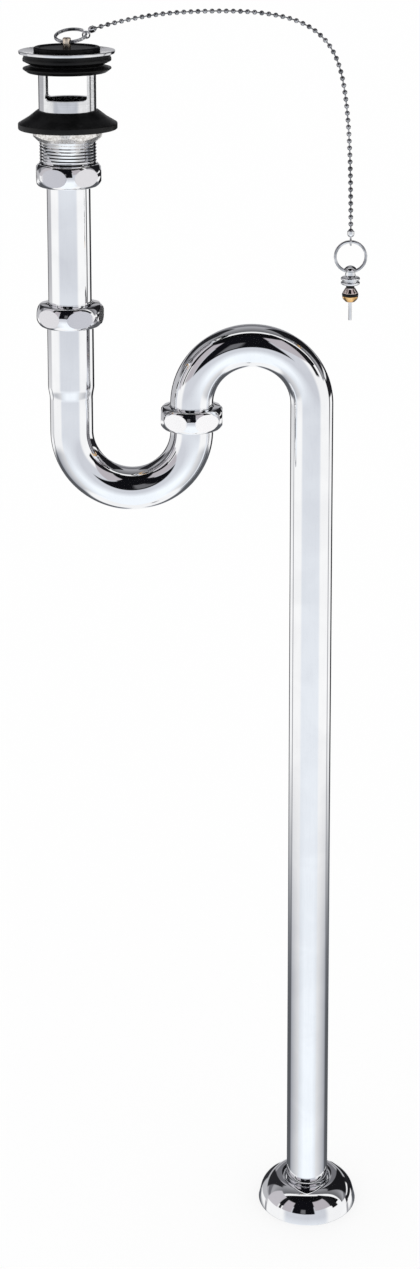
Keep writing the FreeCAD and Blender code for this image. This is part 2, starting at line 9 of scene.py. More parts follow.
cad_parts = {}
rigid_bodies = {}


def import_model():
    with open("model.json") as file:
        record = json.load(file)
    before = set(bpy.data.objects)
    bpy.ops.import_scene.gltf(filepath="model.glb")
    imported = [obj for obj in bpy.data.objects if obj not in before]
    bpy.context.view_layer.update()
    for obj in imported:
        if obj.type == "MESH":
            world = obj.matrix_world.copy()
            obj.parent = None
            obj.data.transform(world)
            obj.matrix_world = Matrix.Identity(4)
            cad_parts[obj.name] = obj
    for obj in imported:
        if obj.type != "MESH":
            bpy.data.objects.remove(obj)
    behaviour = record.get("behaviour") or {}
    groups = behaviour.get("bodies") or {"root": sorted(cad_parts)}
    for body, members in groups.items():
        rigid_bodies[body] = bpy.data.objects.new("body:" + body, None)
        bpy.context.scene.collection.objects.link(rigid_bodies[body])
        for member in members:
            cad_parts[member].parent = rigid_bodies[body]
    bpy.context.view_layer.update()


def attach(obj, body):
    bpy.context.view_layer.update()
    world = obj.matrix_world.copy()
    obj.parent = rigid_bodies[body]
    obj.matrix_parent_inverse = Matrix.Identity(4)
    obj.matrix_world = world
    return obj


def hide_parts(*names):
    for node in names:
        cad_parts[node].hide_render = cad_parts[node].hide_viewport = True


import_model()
scene = bpy.context.scene
mm = 0.001


# Camera: in front of the trap and above the flange, looking slightly down
view = {
    "place": (120, -1600, 180),
    "tilt": 10.42,
    "lens": 63.3,
    "shift": (-0.0186, -0.335),
    "nearest": 0.01,
}
cameraData = bpy.data.cameras.new("camera")
cameraData.lens = view["lens"]
cameraData.shift_x, cameraData.shift_y = view["shift"]
cameraData.clip_start = view["nearest"]
camera = bpy.data.objects.new("camera", cameraData)
camera.location = Vector(view["place"]) * mm
camera.rotation_euler = (math.radians(90 - view["tilt"]), 0, 0)
scene.collection.objects.link(camera)
scene.camera = camera
scene.view_settings.view_transform = "Standard"


# Node helpers. A value that is a socket is linked, any other is set.
def setInput(tree, socket, value):
    if isinstance(value, bpy.types.NodeSocket):
        tree.links.new(value, socket)
    else:
        socket.default_value = value


def addNode(tree, kind, inputs=None, **settings):
    node = tree.nodes.new(kind)
    for key, value in settings.items():
        setattr(node, key, value)
    for key, value in (inputs or {}).items():
        setInput(tree, node.inputs[key], value)
    return node


def outOf(tree, kind, inputs=None, **settings):
    # The first output of a new node
    return addNode(tree, kind, inputs, **settings).outputs[0]


def calc(tree, operation, first, second=0.0, third=0.0):
    return outOf(tree, "ShaderNodeMath", {0: first, 1: second, 2: third}, operation=operation)


def remap(tree, value, low, high, newLow=0.0, newHigh=1.0, curve="SMOOTHSTEP"):
    limits = {"Value": value, "From Min": low, "From Max": high, "To Min": newLow, "To Max": newHigh}
    return addNode(tree, "ShaderNodeMapRange", limits, interpolation_type=curve).outputs["Result"]


def noise(tree, spot, scale, **settings):
    return addNode(tree, "ShaderNodeTexNoise", {"Vector": spot, "Scale": scale, **settings}).outputs["Fac"]


def blendColours(tree, factor, first, second):
    # Colours are (red, green, blue) or sockets
    node = addNode(tree, "ShaderNodeMix", data_type="RGBA")
    for key, value in (("Factor_Float", factor), ("A_Color", first), ("B_Color", second)):
        socket = next(s for s in node.inputs if s.identifier == key)
        setInput(tree, socket, (*value, 1) if isinstance(value, tuple) else value)
    return next(s for s in node.outputs if s.identifier == "Result_Color")


def newGroup(name, inputs, outputs):
    tree = bpy.data.node_groups.new(name, "ShaderNodeTree")
    for label, value in inputs.items():
        socket = tree.interface.new_socket(label, in_out="INPUT", socket_type="NodeSocketFloat")
        socket.default_value = value
    for label in outputs:
        tree.interface.new_socket(label, in_out="OUTPUT", socket_type="NodeSocketFloat")
    return tree, tree.nodes.new("NodeGroupInput").outputs, tree.nodes.new("NodeGroupOutput").inputs


def camelName(name):
    first, *others = name.split("_")
    return first + "".join(word.capitalize() for word in others)


# Wiped plating: soft smears, fine hairlines and the slow ripple of drawn tube
def makePlatingWear():
    tree, given, result = newGroup(
        "platingWear",
        {"Smear Scale": 30.0, "Hairline Scale": 700.0, "Ripple Scale": 25.0},
        ["Smear", "Hairline", "Ripple"],
    )
    spot = addNode(tree, "ShaderNodeTexCoord").outputs["Object"]
    stretched = outOf(tree, "ShaderNodeMapping", {"Vector": spot, "Scale": (1.0, 1.0, 0.06)})
    smear = noise(tree, spot, given["Smear Scale"], Detail=4.0, Distortion=0.6)
    hairline = noise(tree, stretched, given["Hairline Scale"], Detail=2.0)
    ripple = noise(tree, spot, given["Ripple Scale"], Detail=1.0)
    tree.links.new(remap(tree, smear, 0.35, 0.7), result["Smear"])
    tree.links.new(remap(tree, hairline, 0.4, 0.75), result["Hairline"])
    tree.links.new(ripple, result["Ripple"])
    return tree


# Fine rings that a lathe tool leaves, about an upright axis at Centre X
def makeLatheLines():
    tree, given, result = newGroup("latheLines", {"Centre X": 0.0, "Line Scale": 900.0}, ["Lines"])
    spot = addNode(tree, "ShaderNodeTexCoord").outputs["Object"]
    parts = addNode(tree, "ShaderNodeSeparateXYZ", {0: spot}).outputs
    across = calc(tree, "SUBTRACT", parts["X"], given["Centre X"])
    squared = calc(tree, "ADD", calc(tree, "POWER", across, 2.0), calc(tree, "POWER", parts["Y"], 2.0))
    radius = calc(tree, "SQRT", squared)
    onLathe = outOf(tree, "ShaderNodeCombineXYZ", {0: radius, 2: parts["Z"]})
    lines = noise(tree, onLathe, given["Line Scale"], Detail=3.0)
    tree.links.new(remap(tree, lines, 0.3, 0.7), result["Lines"])
    return tree


# Moulded rubber: a fine skin and a little dust where faces look up
def makeRubberSkin():
    tree, given, result = newGroup(
        "rubberSkin", {"Grain Scale": 1800.0, "Bloom Scale": 90.0}, ["Grain", "Bloom", "Dust"]
    )
    spot = addNode(tree, "ShaderNodeTexCoord").outputs["Object"]
    grain = noise(tree, spot, given["Grain Scale"], Detail=3.0)
    bloom = remap(tree, noise(tree, spot, given["Bloom Scale"], Detail=5.0, Roughness=0.6), 0.35, 0.7)
    normal = addNode(tree, "ShaderNodeNewGeometry").outputs["Normal"]
    upward = remap(tree, addNode(tree, "ShaderNodeSeparateXYZ", {0: normal}).outputs["Z"], 0.3, 1.0)
    tree.links.new(grain, result["Grain"])
    tree.links.new(bloom, result["Bloom"])
    tree.links.new(calc(tree, "MULTIPLY", upward, bloom), result["Dust"])
    return tree


platingWear = makePlatingWear()
latheLines = makeLatheLines()
rubberSkin = makeRubberSkin()


def newMaterial(name):
    material = bpy.data.materials.new(name)
    material.use_nodes = True
    tree = material.node_tree
    tree.nodes.clear()
    surface = tree.nodes.new("ShaderNodeBsdfPrincipled")
    addNode(tree, "ShaderNodeOutputMaterial", {"Surface": surface.outputs[0]})
    return material, tree, surface.inputs


def useGroup(tree, group, values):
    return addNode(tree, "ShaderNodeGroup", values, node_tree=group).outputs


def addBump(tree, surface, height, strength, distance):
    bump = outOf(tree, "ShaderNodeBump", {"Height": height, "Strength": strength, "Distance": distance})
    tree.links.new(bump, surface["Normal"])


# Plated metal: bright plating dulled by smears, with lathe lines on turned pieces and ground flats on nuts.
# The chain's and the ring's colours are also painted darker, as painted shade for the dark reflections they
# show.
# Roughness goes from clean to dulled plating, ripple is the bump's strength and its depth in metres.
platingMarks = {"hairline": 0.25, "most": 1.4}
studLathe = {"centre": 205.6, "scale": 2200, "share": 0.3}
platedLooks = {
    "tube_chrome": {
        "colour": (0.94, 0.945, 0.955), "dulled": (0.88, 0.885, 0.9), "roughness": (0.02, 0.06),
        "smear": 28, "ripple": (0.015, 0.001),
    },
    "nut_chrome": {
        "colour": (0.94, 0.94, 0.95), "dulled": (0.86, 0.865, 0.88), "roughness": (0.03, 0.09),
        "smear": 70, "ripple": (0.03, 0.0006), "ground": {"colour": (0.74, 0.73, 0.755), "roughness": 0.14},
    },
    "bright_nut_chrome": {
        "colour": (0.95, 0.95, 0.955), "dulled": (0.88, 0.885, 0.895), "roughness": (0.03, 0.08),
        "smear": 70, "ripple": (0.03, 0.0006), "ground": {"colour": (0.95, 0.945, 0.955), "roughness": 0.12},
    },
    "satin_chrome": {
        "colour": (0.86, 0.865, 0.875), "dulled": (0.7, 0.705, 0.72), "roughness": (0.04, 0.12),
        "smear": 60, "ripple": (0.1, 0.0004), "lathe": {"centre": 0, "scale": 1600, "share": 0.5},
    },
    "thread_chrome": {
        "colour": (0.97, 0.97, 0.975), "dulled": (0.88, 0.885, 0.895), "roughness": (0.02, 0.07),
        "smear": 150, "ripple": (0.04, 0.0003),
    },
    "pale_chrome": {
        "colour": (1, 0.99, 0.975), "dulled": (0.66, 0.63, 0.59), "roughness": (0.2, 0.35), "metallic": 0.9,
        "smear": 700, "ripple": (0.3, 0.0004), "lathe": {"centre": 0, "scale": 1300, "share": 0.15},
    },
    # The ring is painted darker than the other chrome, and its smears darker still: painted shade that stands
    # in for the dark lines its wire reflects.
    "ring_chrome": {
        "colour": (0.82, 0.825, 0.84), "dulled": (0.36, 0.365, 0.38), "roughness": (0.02, 0.07),
        "smear": 120, "ripple": (0.05, 0.0003),
    },
    "stud_chrome": {
        "colour": (0.92, 0.925, 0.935), "dulled": (0.7, 0.705, 0.72), "roughness": (0.02, 0.07),
        "smear": 150, "ripple": (0.04, 0.0003),
    },
    # The chain's colours are kept dark all over: painted shade that stands in for the dark reflections on its
    # beads.
    "chain_chrome": {
        "colour": (0.5, 0.505, 0.52), "dulled": (0.16, 0.165, 0.175), "roughness": (0.02, 0.08),
        "smear": 160, "ripple": (0.05, 0.0003),
    },
    "turned_brass": {
        "colour": (0.98, 0.64, 0.29), "dulled": (0.8, 0.48, 0.19), "roughness": (0.08, 0.2),
        "smear": 140, "ripple": (0.08, 0.0003), "lathe": studLathe,
    },
    "rose_chrome": {
        "colour": (0.98, 0.88, 0.84), "dulled": (0.82, 0.7, 0.65), "roughness": (0.05, 0.15),
        "smear": 140, "ripple": (0.06, 0.0003), "lathe": studLathe,
    },
    "post_brass": {
        "colour": (0.86, 0.76, 0.64), "dulled": (0.6, 0.5, 0.4), "roughness": (0.14, 0.3),
        "smear": 160, "ripple": (0.1, 0.0003), "lathe": {"centre": 0, "scale": 2200, "share": 0.4},
    },
}


def platedMetal(name, look):
    material, tree, surface = newMaterial(name)
    surface["Metallic"].default_value = look.get("metallic", 1.0)
    wear = useGroup(tree, platingWear, {"Smear Scale": look["smear"]})
    marks = calc(tree, "MULTIPLY_ADD", wear["Hairline"], platingMarks["hairline"], wear["Smear"])
    height = wear["Ripple"]
    lathe, ground = look.get("lathe"), look.get("ground")
    if lathe:
        lines = useGroup(tree, latheLines, {"Centre X": lathe["centre"] * mm, "Line Scale": lathe["scale"]})
        mixed = calc(tree, "MULTIPLY", lines["Lines"], lathe["share"])
        marks = calc(tree, "ADD", marks, mixed)
        height = calc(tree, "ADD", height, mixed)
    tint = blendColours(tree, marks, look["colour"], look["dulled"])
    gloss = remap(tree, marks, 0.0, platingMarks["most"], *look["roughness"], "LINEAR")
    if ground:
        flat = addNode(tree, "ShaderNodeAttribute", attribute_name="ground").outputs["Fac"]
        tint = blendColours(tree, flat, tint, ground["colour"])
        gloss = calc(tree, "MULTIPLY_ADD", flat, ground["roughness"], gloss)
    tree.links.new(tint, surface["Base Color"])
    tree.links.new(gloss, surface["Roughness"])
    addBump(tree, surface, height, *look["ripple"])
    return material


# Rubber: near black, greyer where it blooms and where dust lies
rubberLooks = {
    "black_rubber": {
        "colour": (0.002, 0.002, 0.0023), "bloomed": (0.008, 0.008, 0.0088), "roughness": (0.34, 0.5),
        "grain": 1800, "bump": (0.14, 0.0002), "dust": 0.4, "bloom": 0.5,
        "gloss": {"Specular IOR Level": 0.25, "Coat Weight": 0.0, "Coat Roughness": 0.1},
    },
    "plug_rubber": {
        "colour": (0.003, 0.003, 0.0035), "bloomed": (0.012, 0.012, 0.013), "roughness": (0.3, 0.5),
        "grain": 1500, "bump": (0.05, 0.0002), "dust": 0.4, "bloom": 0.5,
        "gloss": {"Specular IOR Level": 0.0, "Coat Weight": 0.16, "Coat Roughness": 0.12},
    },
}


def mouldedRubber(name, look):
    material, tree, surface = newMaterial(name)
    for key, value in look["gloss"].items():
        surface[key].default_value = value
    skin = useGroup(tree, rubberSkin, {"Grain Scale": look["grain"]})
    bloom = calc(tree, "MULTIPLY", skin["Bloom"], look["bloom"])
    marks = calc(tree, "MULTIPLY_ADD", skin["Dust"], look["dust"], bloom)
    tree.links.new(blendColours(tree, marks, look["colour"], look["bloomed"]), surface["Base Color"])
    tree.links.new(remap(tree, marks, 0.0, 1.0, *look["roughness"], "LINEAR"), surface["Roughness"])
    addBump(tree, surface, skin["Grain"], *look["bump"])
    return material


# Slip plastic: pale, faintly mottled and waxy
plasticLooks = {
    "pale_plastic": {
        "colour": (0.83, 0.83, 0.8), "mottled": (0.72, 0.72, 0.69), "roughness": (0.3, 0.5),
        "grain": 1200.0, "mottle": 160.0, "bump": (0.08, 0.0002),
    },
}


def slipPlastic(name, look):
    material, tree, surface = newMaterial(name)
    skin = useGroup(tree, rubberSkin, {"Grain Scale": look["grain"], "Bloom Scale": look["mottle"]})
    tree.links.new(blendColours(tree, skin["Bloom"], look["colour"], look["mottled"]), surface["Base Color"])
    tree.links.new(remap(tree, skin["Grain"], 0.0, 1.0, *look["roughness"]), surface["Roughness"])
    addBump(tree, surface, skin["Grain"], *look["bump"])
    return material


finishes = {}
finishMakers = [(platedMetal, platedLooks), (mouldedRubber, rubberLooks), (slipPlastic, plasticLooks)]
for makeFinish, looks in finishMakers:
    for finishName, look in looks.items():
        finishes[finishName] = makeFinish(camelName(finishName), look)
print("finishes:", ", ".join(finishes))


# Mesh helpers. Outlines are (radius, height, rounding) corners in millimetres.
def softOutline(corners, steps=5):
    # Rounds the corners of a closed outline
    straight, mostReach = math.radians(178), 0.48
    outline = []
    count = len(corners)
    for i, corner in enumerate(corners):
        here = Vector(corner[:2])
        rounding = corner[2] if len(corner) > 2 else 0
        back = Vector(corners[i - 1][:2]) - here
        ahead = Vector(corners[(i + 1) % count][:2]) - here
        turn = back.angle(ahead, math.pi) if rounding else math.pi
        if turn > straight:
            outline.append(tuple(here))
            continue
        reach = min(rounding / math.tan(turn / 2), back.length * mostReach, ahead.length * mostReach)
        bend = reach * math.tan(turn / 2)
        middle = (back.normalized() + ahead.normalized()).normalized()
        centre = here + middle * (bend / math.sin(turn / 2))
        first = here + back.normalized() * reach - centre
        last = here + ahead.normalized() * reach - centre
        sweep = first.angle_signed(last)
        for step in range(steps + 1):
            swung = Matrix.Rotation(-sweep * step / steps, 2) @ first
            outline.append(tuple(centre + swung))
    return outline


def arcOutline(centre, radius, first, last, steps=14):
    # Points on an arc of an outline, from angle first to angle last in degrees
    points = []
    for step in range(steps + 1):
        angle = math.radians(first + (last - first) * step / steps)
        points.append((centre[0] + radius * math.cos(angle), centre[1] + radius * math.sin(angle)))
    return points


def turnedMesh(outline, segments=96):
    # Turns a closed outline about the upright axis
    onAxis = 1e-4
    bm = bmesh.new()
    rings = []
    for radius, height in outline:
        if radius < onAxis:
            rings.append([bm.verts.new((0, 0, height * mm))] * segments)
            continue
        ring = []
        for i in range(segments):
            angle = 2 * math.pi * i / segments
            x, y = radius * math.cos(angle), radius * math.sin(angle)
            ring.append(bm.verts.new((x * mm, y * mm, height * mm)))
        rings.append(ring)
    joinRings(bm, rings)
    return bm


def joinRings(bm, rings):
    # Faces between neighbouring rings, and from the last ring back to the first
    for ring, following in zip(rings, rings[1:] + rings[:1]):
        for i in range(len(ring)):
            j = (i + 1) % len(ring)
            corners = list(dict.fromkeys((ring[i], ring[j], following[j], following[i])))
            if len(corners) > 2:
                bm.faces.new(corners)


def tubeMesh(stations, segments=80):
    # A bent tube's walls: a closed loop of (x, z, across x, across z, radius) stations in the XZ plane
    bm = bmesh.new()
    rings = []
    for x, z, acrossX, acrossZ, radius in stations:
        ring = []
        for i in range(segments):
            angle = 2 * math.pi * i / segments
            inPlane = radius * math.cos(angle)
            spot = (x + inPlane * acrossX, radius * math.sin(angle), z + inPlane * acrossZ)
            ring.append(bm.verts.new([part * mm for part in spot]))
        rings.append(ring)
    joinRings(bm, rings)
    return bm


def hexNutMesh(outer, inner, flats, turn, perFlat=30, endRows=9, flatRows=6):
    # Six flats on a turned outline; outer runs up the outside, inner back down the inside
    sliver = 0.01
    bm = bmesh.new()
    rim = bm.edges.layers.int.new("rim")
    ground = bm.faces.layers.float.new("ground")
    last = len(outer) - 1

    def onOutline(share):
        spot = min(max(share, 0), 1) * last
        low = min(int(spot), last - 1)
        part = spot - low
        return tuple(a + (b - a) * part for a, b in zip(outer[low], outer[low + 1]))

    widest = max(range(len(outer)), key=lambda k: outer[k][0]) / last
    columns = []
    cutColumns = []
    for c in range(6 * perFlat):
        fromFlat = math.radians((c % perFlat) * 60 / perFlat - 30)
        wall = flats / 2 / math.cos(fromFlat)
        lower = next((k for k in range(last) if outer[k][0] <= wall < outer[k + 1][0]), None)
        cut = lower is not None
        if cut:
            rise = outer[lower + 1][0] - outer[lower][0]
            lowShare = (lower + (wall - outer[lower][0]) / rise) / last
            upper = next((k for k in range(last - 1, -1, -1) if outer[k + 1][0] <= wall < outer[k][0]), None)
            highShare = 1.0
            if upper is not None:
                fall = outer[upper][0] - outer[upper + 1][0]
                highShare = (upper + (outer[upper][0] - wall) / fall) / last
        else:
            lowShare, highShare = widest - sliver, min(widest + sliver, 1.0)
        rows = [onOutline(lowShare * k / endRows) for k in range(endRows + 1)]
        lowHeight = onOutline(lowShare)[1]
        highHeight = onOutline(highShare)[1]
        for k in range(1, flatRows + 1):
            share = lowShare + (highShare - lowShare) * k / flatRows
            height = lowHeight + (highHeight - lowHeight) * k / flatRows
            rows.append((wall, height) if cut else onOutline(share))
        rows += [onOutline(highShare + (1 - highShare) * k / endRows) for k in range(1, endRows + 1)]
        rows += inner
        angle = math.radians(turn + c * 60 / perFlat)
        column = [bm.verts.new((r * math.cos(angle) * mm, r * math.sin(angle) * mm, z * mm)) for r, z in rows]
        columns.append(column)
        cutColumns.append(cut)
    for c, column in enumerate(columns):
        beside = columns[(c + 1) % len(columns)]
        onFlat = cutColumns[c] or cutColumns[(c + 1) % len(columns)]
        for k in range(len(column)):
            j = (k + 1) % len(column)
            face = bm.faces.new((column[k], beside[k], beside[j], column[j]))
            face[ground] = float(onFlat and endRows <= k < endRows + flatRows)
        if onFlat:
            for k in (endRows, endRows + flatRows):
                bm.edges.get((column[k], beside[k]))[rim] = 1
    return bm


def finishPiece(name, bm, slotName, body, nodes=(), place=None, sharp=34, finish=None):
    # Closes seams, turns faces outwards, shades, and hands the piece to its body
    bmesh.ops.remove_doubles(bm, verts=bm.verts, dist=1e-7)
    bmesh.ops.dissolve_degenerate(bm, edges=bm.edges, dist=1e-8)
    bmesh.ops.recalc_face_normals(bm, faces=bm.faces)
    if place is not None:
        bm.transform(place)
    mesh = bpy.data.meshes.new(name)
    bm.to_mesh(mesh)
    bm.free()
    shadeSoftly(mesh, sharp)
    return handOver(name, mesh, slotName, body, nodes, finish)


def shadeSoftly(mesh, sharp):
    mesh.polygons.foreach_set("use_smooth", [True] * len(mesh.polygons))
    mesh.set_sharp_from_angle(angle=math.radians(sharp))
    rim = mesh.attributes.get("rim")
    if rim:
        marked = [i for i, item in enumerate(rim.data) if item.value]
        edges = mesh.attributes.get("sharp_edge") or mesh.attributes.new("sharp_edge", "BOOLEAN", "EDGE")
        for i in marked:
            edges.data[i].value = True
        mesh.attributes.remove(mesh.attributes["rim"])


def handOver(name, mesh, slotName, body, nodes, finish=None):
    mesh.materials.clear()
    mesh.materials.append(finishes[finish or slotName])
    piece = bpy.data.objects.new(camelName(name), mesh)
    scene.collection.objects.link(piece)
    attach(piece, body)
    if nodes:
        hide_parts(*nodes)
    return piece


def evaluatedMesh(source):
    return bpy.data.meshes.new_from_object(source.evaluated_get(bpy.context.evaluated_depsgraph_get()))


def dropObject(made):
    data = made.data
    bpy.data.objects.remove(made)
    bpy.data.meshes.remove(data)


def cutAway(bm, cutters):
    # Subtracts closed cutter meshes and returns the result as a new bmesh
    def asObject(source):
        bmesh.ops.recalc_face_normals(source, faces=source.faces)
        mesh = bpy.data.meshes.new("cut")
        source.to_mesh(mesh)
        source.free()
        made = bpy.data.objects.new("cut", mesh)
        scene.collection.objects.link(made)
        return made

    whole = asObject(bm)
    tools = [asObject(cutter) for cutter in cutters]
    for tool in tools:
        cut = whole.modifiers.new("cut", "BOOLEAN")
        cut.operation = "DIFFERENCE"
        cut.solver = "EXACT"
        cut.object = tool
    result = bmesh.new()
    mesh = evaluatedMesh(whole)
    result.from_mesh(mesh)
    bpy.data.meshes.remove(mesh)
    for made in [whole] + tools:
        dropObject(made)
    return result


def aimAlong(way):
    # Turns the upright axis to a direction
    return Vector((0, 0, 1)).rotation_difference(way).to_matrix().to_4x4()


def rodMesh(start, end, radius, segments=32):
    # A closed round rod between two points in millimetres
    start, end = Vector(start), Vector(end)
    length = (end - start).length
    bm = turnedMesh([(0, 0), (radius, 0), (radius, length), (0, length)], segments)
    bm.transform(Matrix.Translation(start * mm) @ aimAlong(end - start))
    return bm


def joinMeshes(parts):
    # Several bmeshes as one
    whole = bmesh.new()
    for part in parts:
        mesh = bpy.data.meshes.new("part")
        part.to_mesh(mesh)
        part.free()
        whole.from_mesh(mesh)
        bpy.data.meshes.remove(mesh)
    return whole


def atX(x):
    return Matrix.Translation((x * mm, 0, 0))


def turnedPiece(name, corners, slotName, body, x=0, steps=5, segments=96, finish=None):
    bm = turnedMesh(softOutline(corners, steps), segments)
    return finishPiece(name, bm, slotName, body, [name], atX(x), finish=finish)


# Geometry Nodes helpers
floatInput, wholeInput, vectorInput = "NodeSocketFloat", "NodeSocketInt", "NodeSocketVector"
rotationInput, materialInput = "NodeSocketRotation", "NodeSocketMaterial"


def newTree(name, inputs):
    tree = bpy.data.node_groups.new(name, "GeometryNodeTree")
    tree.interface.new_socket("Geometry", in_out="INPUT", socket_type="NodeSocketGeometry")
    for label, kind in inputs.items():
        tree.interface.new_socket(label, in_out="INPUT", socket_type=kind)
    tree.interface.new_socket("Geometry", in_out="OUTPUT", socket_type="NodeSocketGeometry")
    return tree, tree.nodes.new("NodeGroupInput").outputs, tree.nodes.new("NodeGroupOutput").inputs


def endTree(tree, given, result, geometry):
    # Every tree ends in real geometry with its material set
    real = outOf(tree, "GeometryNodeRealizeInstances", {"Geometry": geometry})
    smooth = outOf(tree, "GeometryNodeSetShadeSmooth", {"Geometry": real})
    painted = outOf(tree, "GeometryNodeSetMaterial", {"Geometry": smooth, "Material": given["Material"]})
    tree.links.new(painted, result["Geometry"])
    return tree


def sweepProfile(tree, curve, profile):
    inputs = {"Curve": curve, "Profile Curve": profile, "Fill Caps": True}
    return outOf(tree, "GeometryNodeCurveToMesh", inputs)


def growMesh(name, tree, values, finish, base=None):
    # Runs a tree on a base mesh and returns its result as a plain mesh
    host = bpy.data.objects.new(name + "Host", base or bpy.data.meshes.new(name + "Base"))
    scene.collection.objects.link(host)
    modifier = host.modifiers.new(name, "NODES")
    modifier.node_group = tree
    values = dict(values, Material=finishes[finish])
    for item in tree.interface.items_tree:
        if item.item_type == "SOCKET" and item.in_out == "INPUT" and item.name in values:
            modifier[item.identifier] = values[item.name]
    mesh = evaluatedMesh(host)
    mesh.name = name
    dropObject(host)
    return mesh


# Split rings: two turns of wire side by side, with a short jog between them
ringSizes = {
    "radius": 11.2,
    "wireAcross": 1.0,
    "wireAlong": 0.6,
    "turns": 1.86,
    "jog": (0.45, 0.55),
    "sharp": 40,
    "plugRing": {"eye": (0, 0, 8.2), "tilt": 18.5, "bearing": -12},
    "studRing": {"centre": (205.6, 0, -149.4), "tilt": 90},
}


def makeRingTree():
    tree, given, result = newTree("splitRing", {
        "Radius": floatInput, "Turns": floatInput, "Wire Across": floatInput, "Wire Along": floatInput,
        "Position": vectorInput, "Rotation": rotationInput, "Material": materialInput,
    })
    coil = outOf(tree, "GeometryNodeCurveSpiral", {
        "Resolution": 72, "Height": 0.0, "Rotations": given["Turns"],
        "Start Radius": given["Radius"], "End Radius": given["Radius"],
    })
    along = addNode(tree, "GeometryNodeSplineParameter").outputs["Factor"]
    lift = calc(tree, "MULTIPLY", remap(tree, along, *ringSizes["jog"], -1.0, 1.0), given["Wire Along"])
    offset = outOf(tree, "ShaderNodeCombineXYZ", {2: lift})
    stepped = outOf(tree, "GeometryNodeSetPosition", {"Geometry": coil, "Offset": offset})
    upright = outOf(tree, "GeometryNodeSetCurveNormal", {"Curve": stepped}, mode="Z_UP")
    wire = outOf(tree, "GeometryNodeCurvePrimitiveCircle", {"Resolution": 20, "Radius": 1.0})
    wireSize = outOf(tree, "ShaderNodeCombineXYZ", {0: given["Wire Across"], 1: given["Wire Along"], 2: 1.0})
    flatWire = outOf(tree, "GeometryNodeTransform", {"Geometry": wire, "Scale": wireSize})
    hung = outOf(tree, "GeometryNodeTransform", {
        "Geometry": sweepProfile(tree, upright, flatWire),
        "Translation": given["Position"],
        "Rotation": given["Rotation"],
    })
    return endTree(tree, given, result, hung)


ringTree = makeRingTree()


def makeRing(node, body, centre, turn):
    mesh = growMesh(node, ringTree, {
        "Radius": ringSizes["radius"] * mm,
        "Turns": ringSizes["turns"],
        "Wire Across": ringSizes["wireAcross"] * mm,
        "Wire Along": ringSizes["wireAlong"] * mm,
        "Position": centre * mm,
        "Rotation": turn.to_euler(),
    }, "ring_chrome")
    shadeSoftly(mesh, ringSizes["sharp"])
    return handOver(node, mesh, "ring_chrome", body, [node])


def turnAbout(axis, degrees):
    return Matrix.Rotation(math.radians(degrees), 3, axis)


leaning, hanging = ringSizes["plugRing"], ringSizes["studRing"]
plugRingTurn = turnAbout("Z", leaning["bearing"]) @ turnAbout("X", leaning["tilt"])
plugRingCentre = Vector(leaning["eye"]) + plugRingTurn @ Vector((0, ringSizes["radius"], 0))
studRingCentre = Vector(hanging["centre"])
makeRing("plug_ring", "plug", plugRingCentre, plugRingTurn)
studRing = makeRing("stud_ring", "station_ring", studRingCentre, turnAbout("X", hanging["tilt"]))
print("rings: split wire, two turns each")


# Bead chain: beads and their links along one smooth line
chainSizes = {
    "bead": 1.8,
    "link": 0.5,
    "pitch": 5.1,
    "length": 0.3167,
    "route": [
        (19.4, 9.6, 16.9), (25.2, 9.4, 18.9), (36, 8.8, 21.6), (50.4, 7.6, 25), (69.6, 5.6, 28.2),
        (88.8, 3.6, 29.7), (108, 2, 30.4), (127.2, 0.8, 30.2), (142, 0.2, 29), (156.4, 0, 26.4),
        (166.6, 0, 23.2), (176.4, 0, 18.2), (185.4, 0, 10.6), (192, 0, 1.4), (197, 0, -11),
        (200.4, 0, -27), (203, 0, -49.4), (204.6, 0, -76), (205.3, 0, -103), (205.6, 0, -130.2),
    ],
}


def chainLine(route):
    # The route's smooth line as a mesh of points in order
    curve = bpy.data.curves.new("chainRoute", "CURVE")
    curve.dimensions = "3D"
    curve.resolution_u = 16
    spline = curve.splines.new("NURBS")
    spline.points.add(len(route) - 1)
    for point, spot in zip(spline.points, route):
        point.co = (*(Vector(spot) * mm), 1)
    spline.order_u = 3
    spline.use_endpoint_u = True
    holder = bpy.data.objects.new("chainRoute", curve)
    scene.collection.objects.link(holder)
    line = evaluatedMesh(holder)
    bpy.data.objects.remove(holder)
    bpy.data.curves.remove(curve)
    return line


def makeChainTree():
    tree, given, result = newTree("beadChain", {
        "Bead Radius": floatInput, "Link Radius": floatInput, "Bead Count": wholeInput,
        "Material": materialInput,
    })
    line = outOf(tree, "GeometryNodeMeshToCurve", {"Mesh": given["Geometry"]})
    spots = outOf(tree, "GeometryNodeResampleCurve", {"Curve": line, "Count": given["Bead Count"]})
    ball = outOf(tree, "GeometryNodeMeshUVSphere", {
        "Segments": 18, "Rings": 12, "Radius": given["Bead Radius"],
    })
    beads = outOf(tree, "GeometryNodeInstanceOnPoints", {"Points": spots, "Instance": ball})
    wire = outOf(tree, "GeometryNodeCurvePrimitiveCircle", {"Resolution": 8, "Radius": given["Link Radius"]})
    both = tree.nodes.new("GeometryNodeJoinGeometry")
    for part in (beads, sweepProfile(tree, spots, wire)):
        tree.links.new(part, both.inputs[0])
    return endTree(tree, given, result, both.outputs[0])


chainPath = chainLine(chainSizes["route"])
beadCount = round(chainSizes["length"] / (chainSizes["pitch"] * mm)) + 1
chainMesh = growMesh("bead_chain", makeChainTree(), {
    "Bead Radius": chainSizes["bead"] * mm,
    "Link Radius": chainSizes["link"] * mm,
    "Bead Count": beadCount,
}, "chain_chrome", chainPath)
chain = handOver("bead_chain", chainMesh, "chain_chrome", "plug", ["bead_chain"])
print("chain:", beadCount, "beads")


# Couplings: a wire loop round each ring and a bell over the chain's end bead
couplingSizes = {
    "bell": 2.6,
    "bellLength": 2.2,
    "wall": 0.5,
    "edge": 0.2,
    "loop": 2.6,
    "wire": 0.6,
    "neck": 0.55,
    "bearing": 10,
}


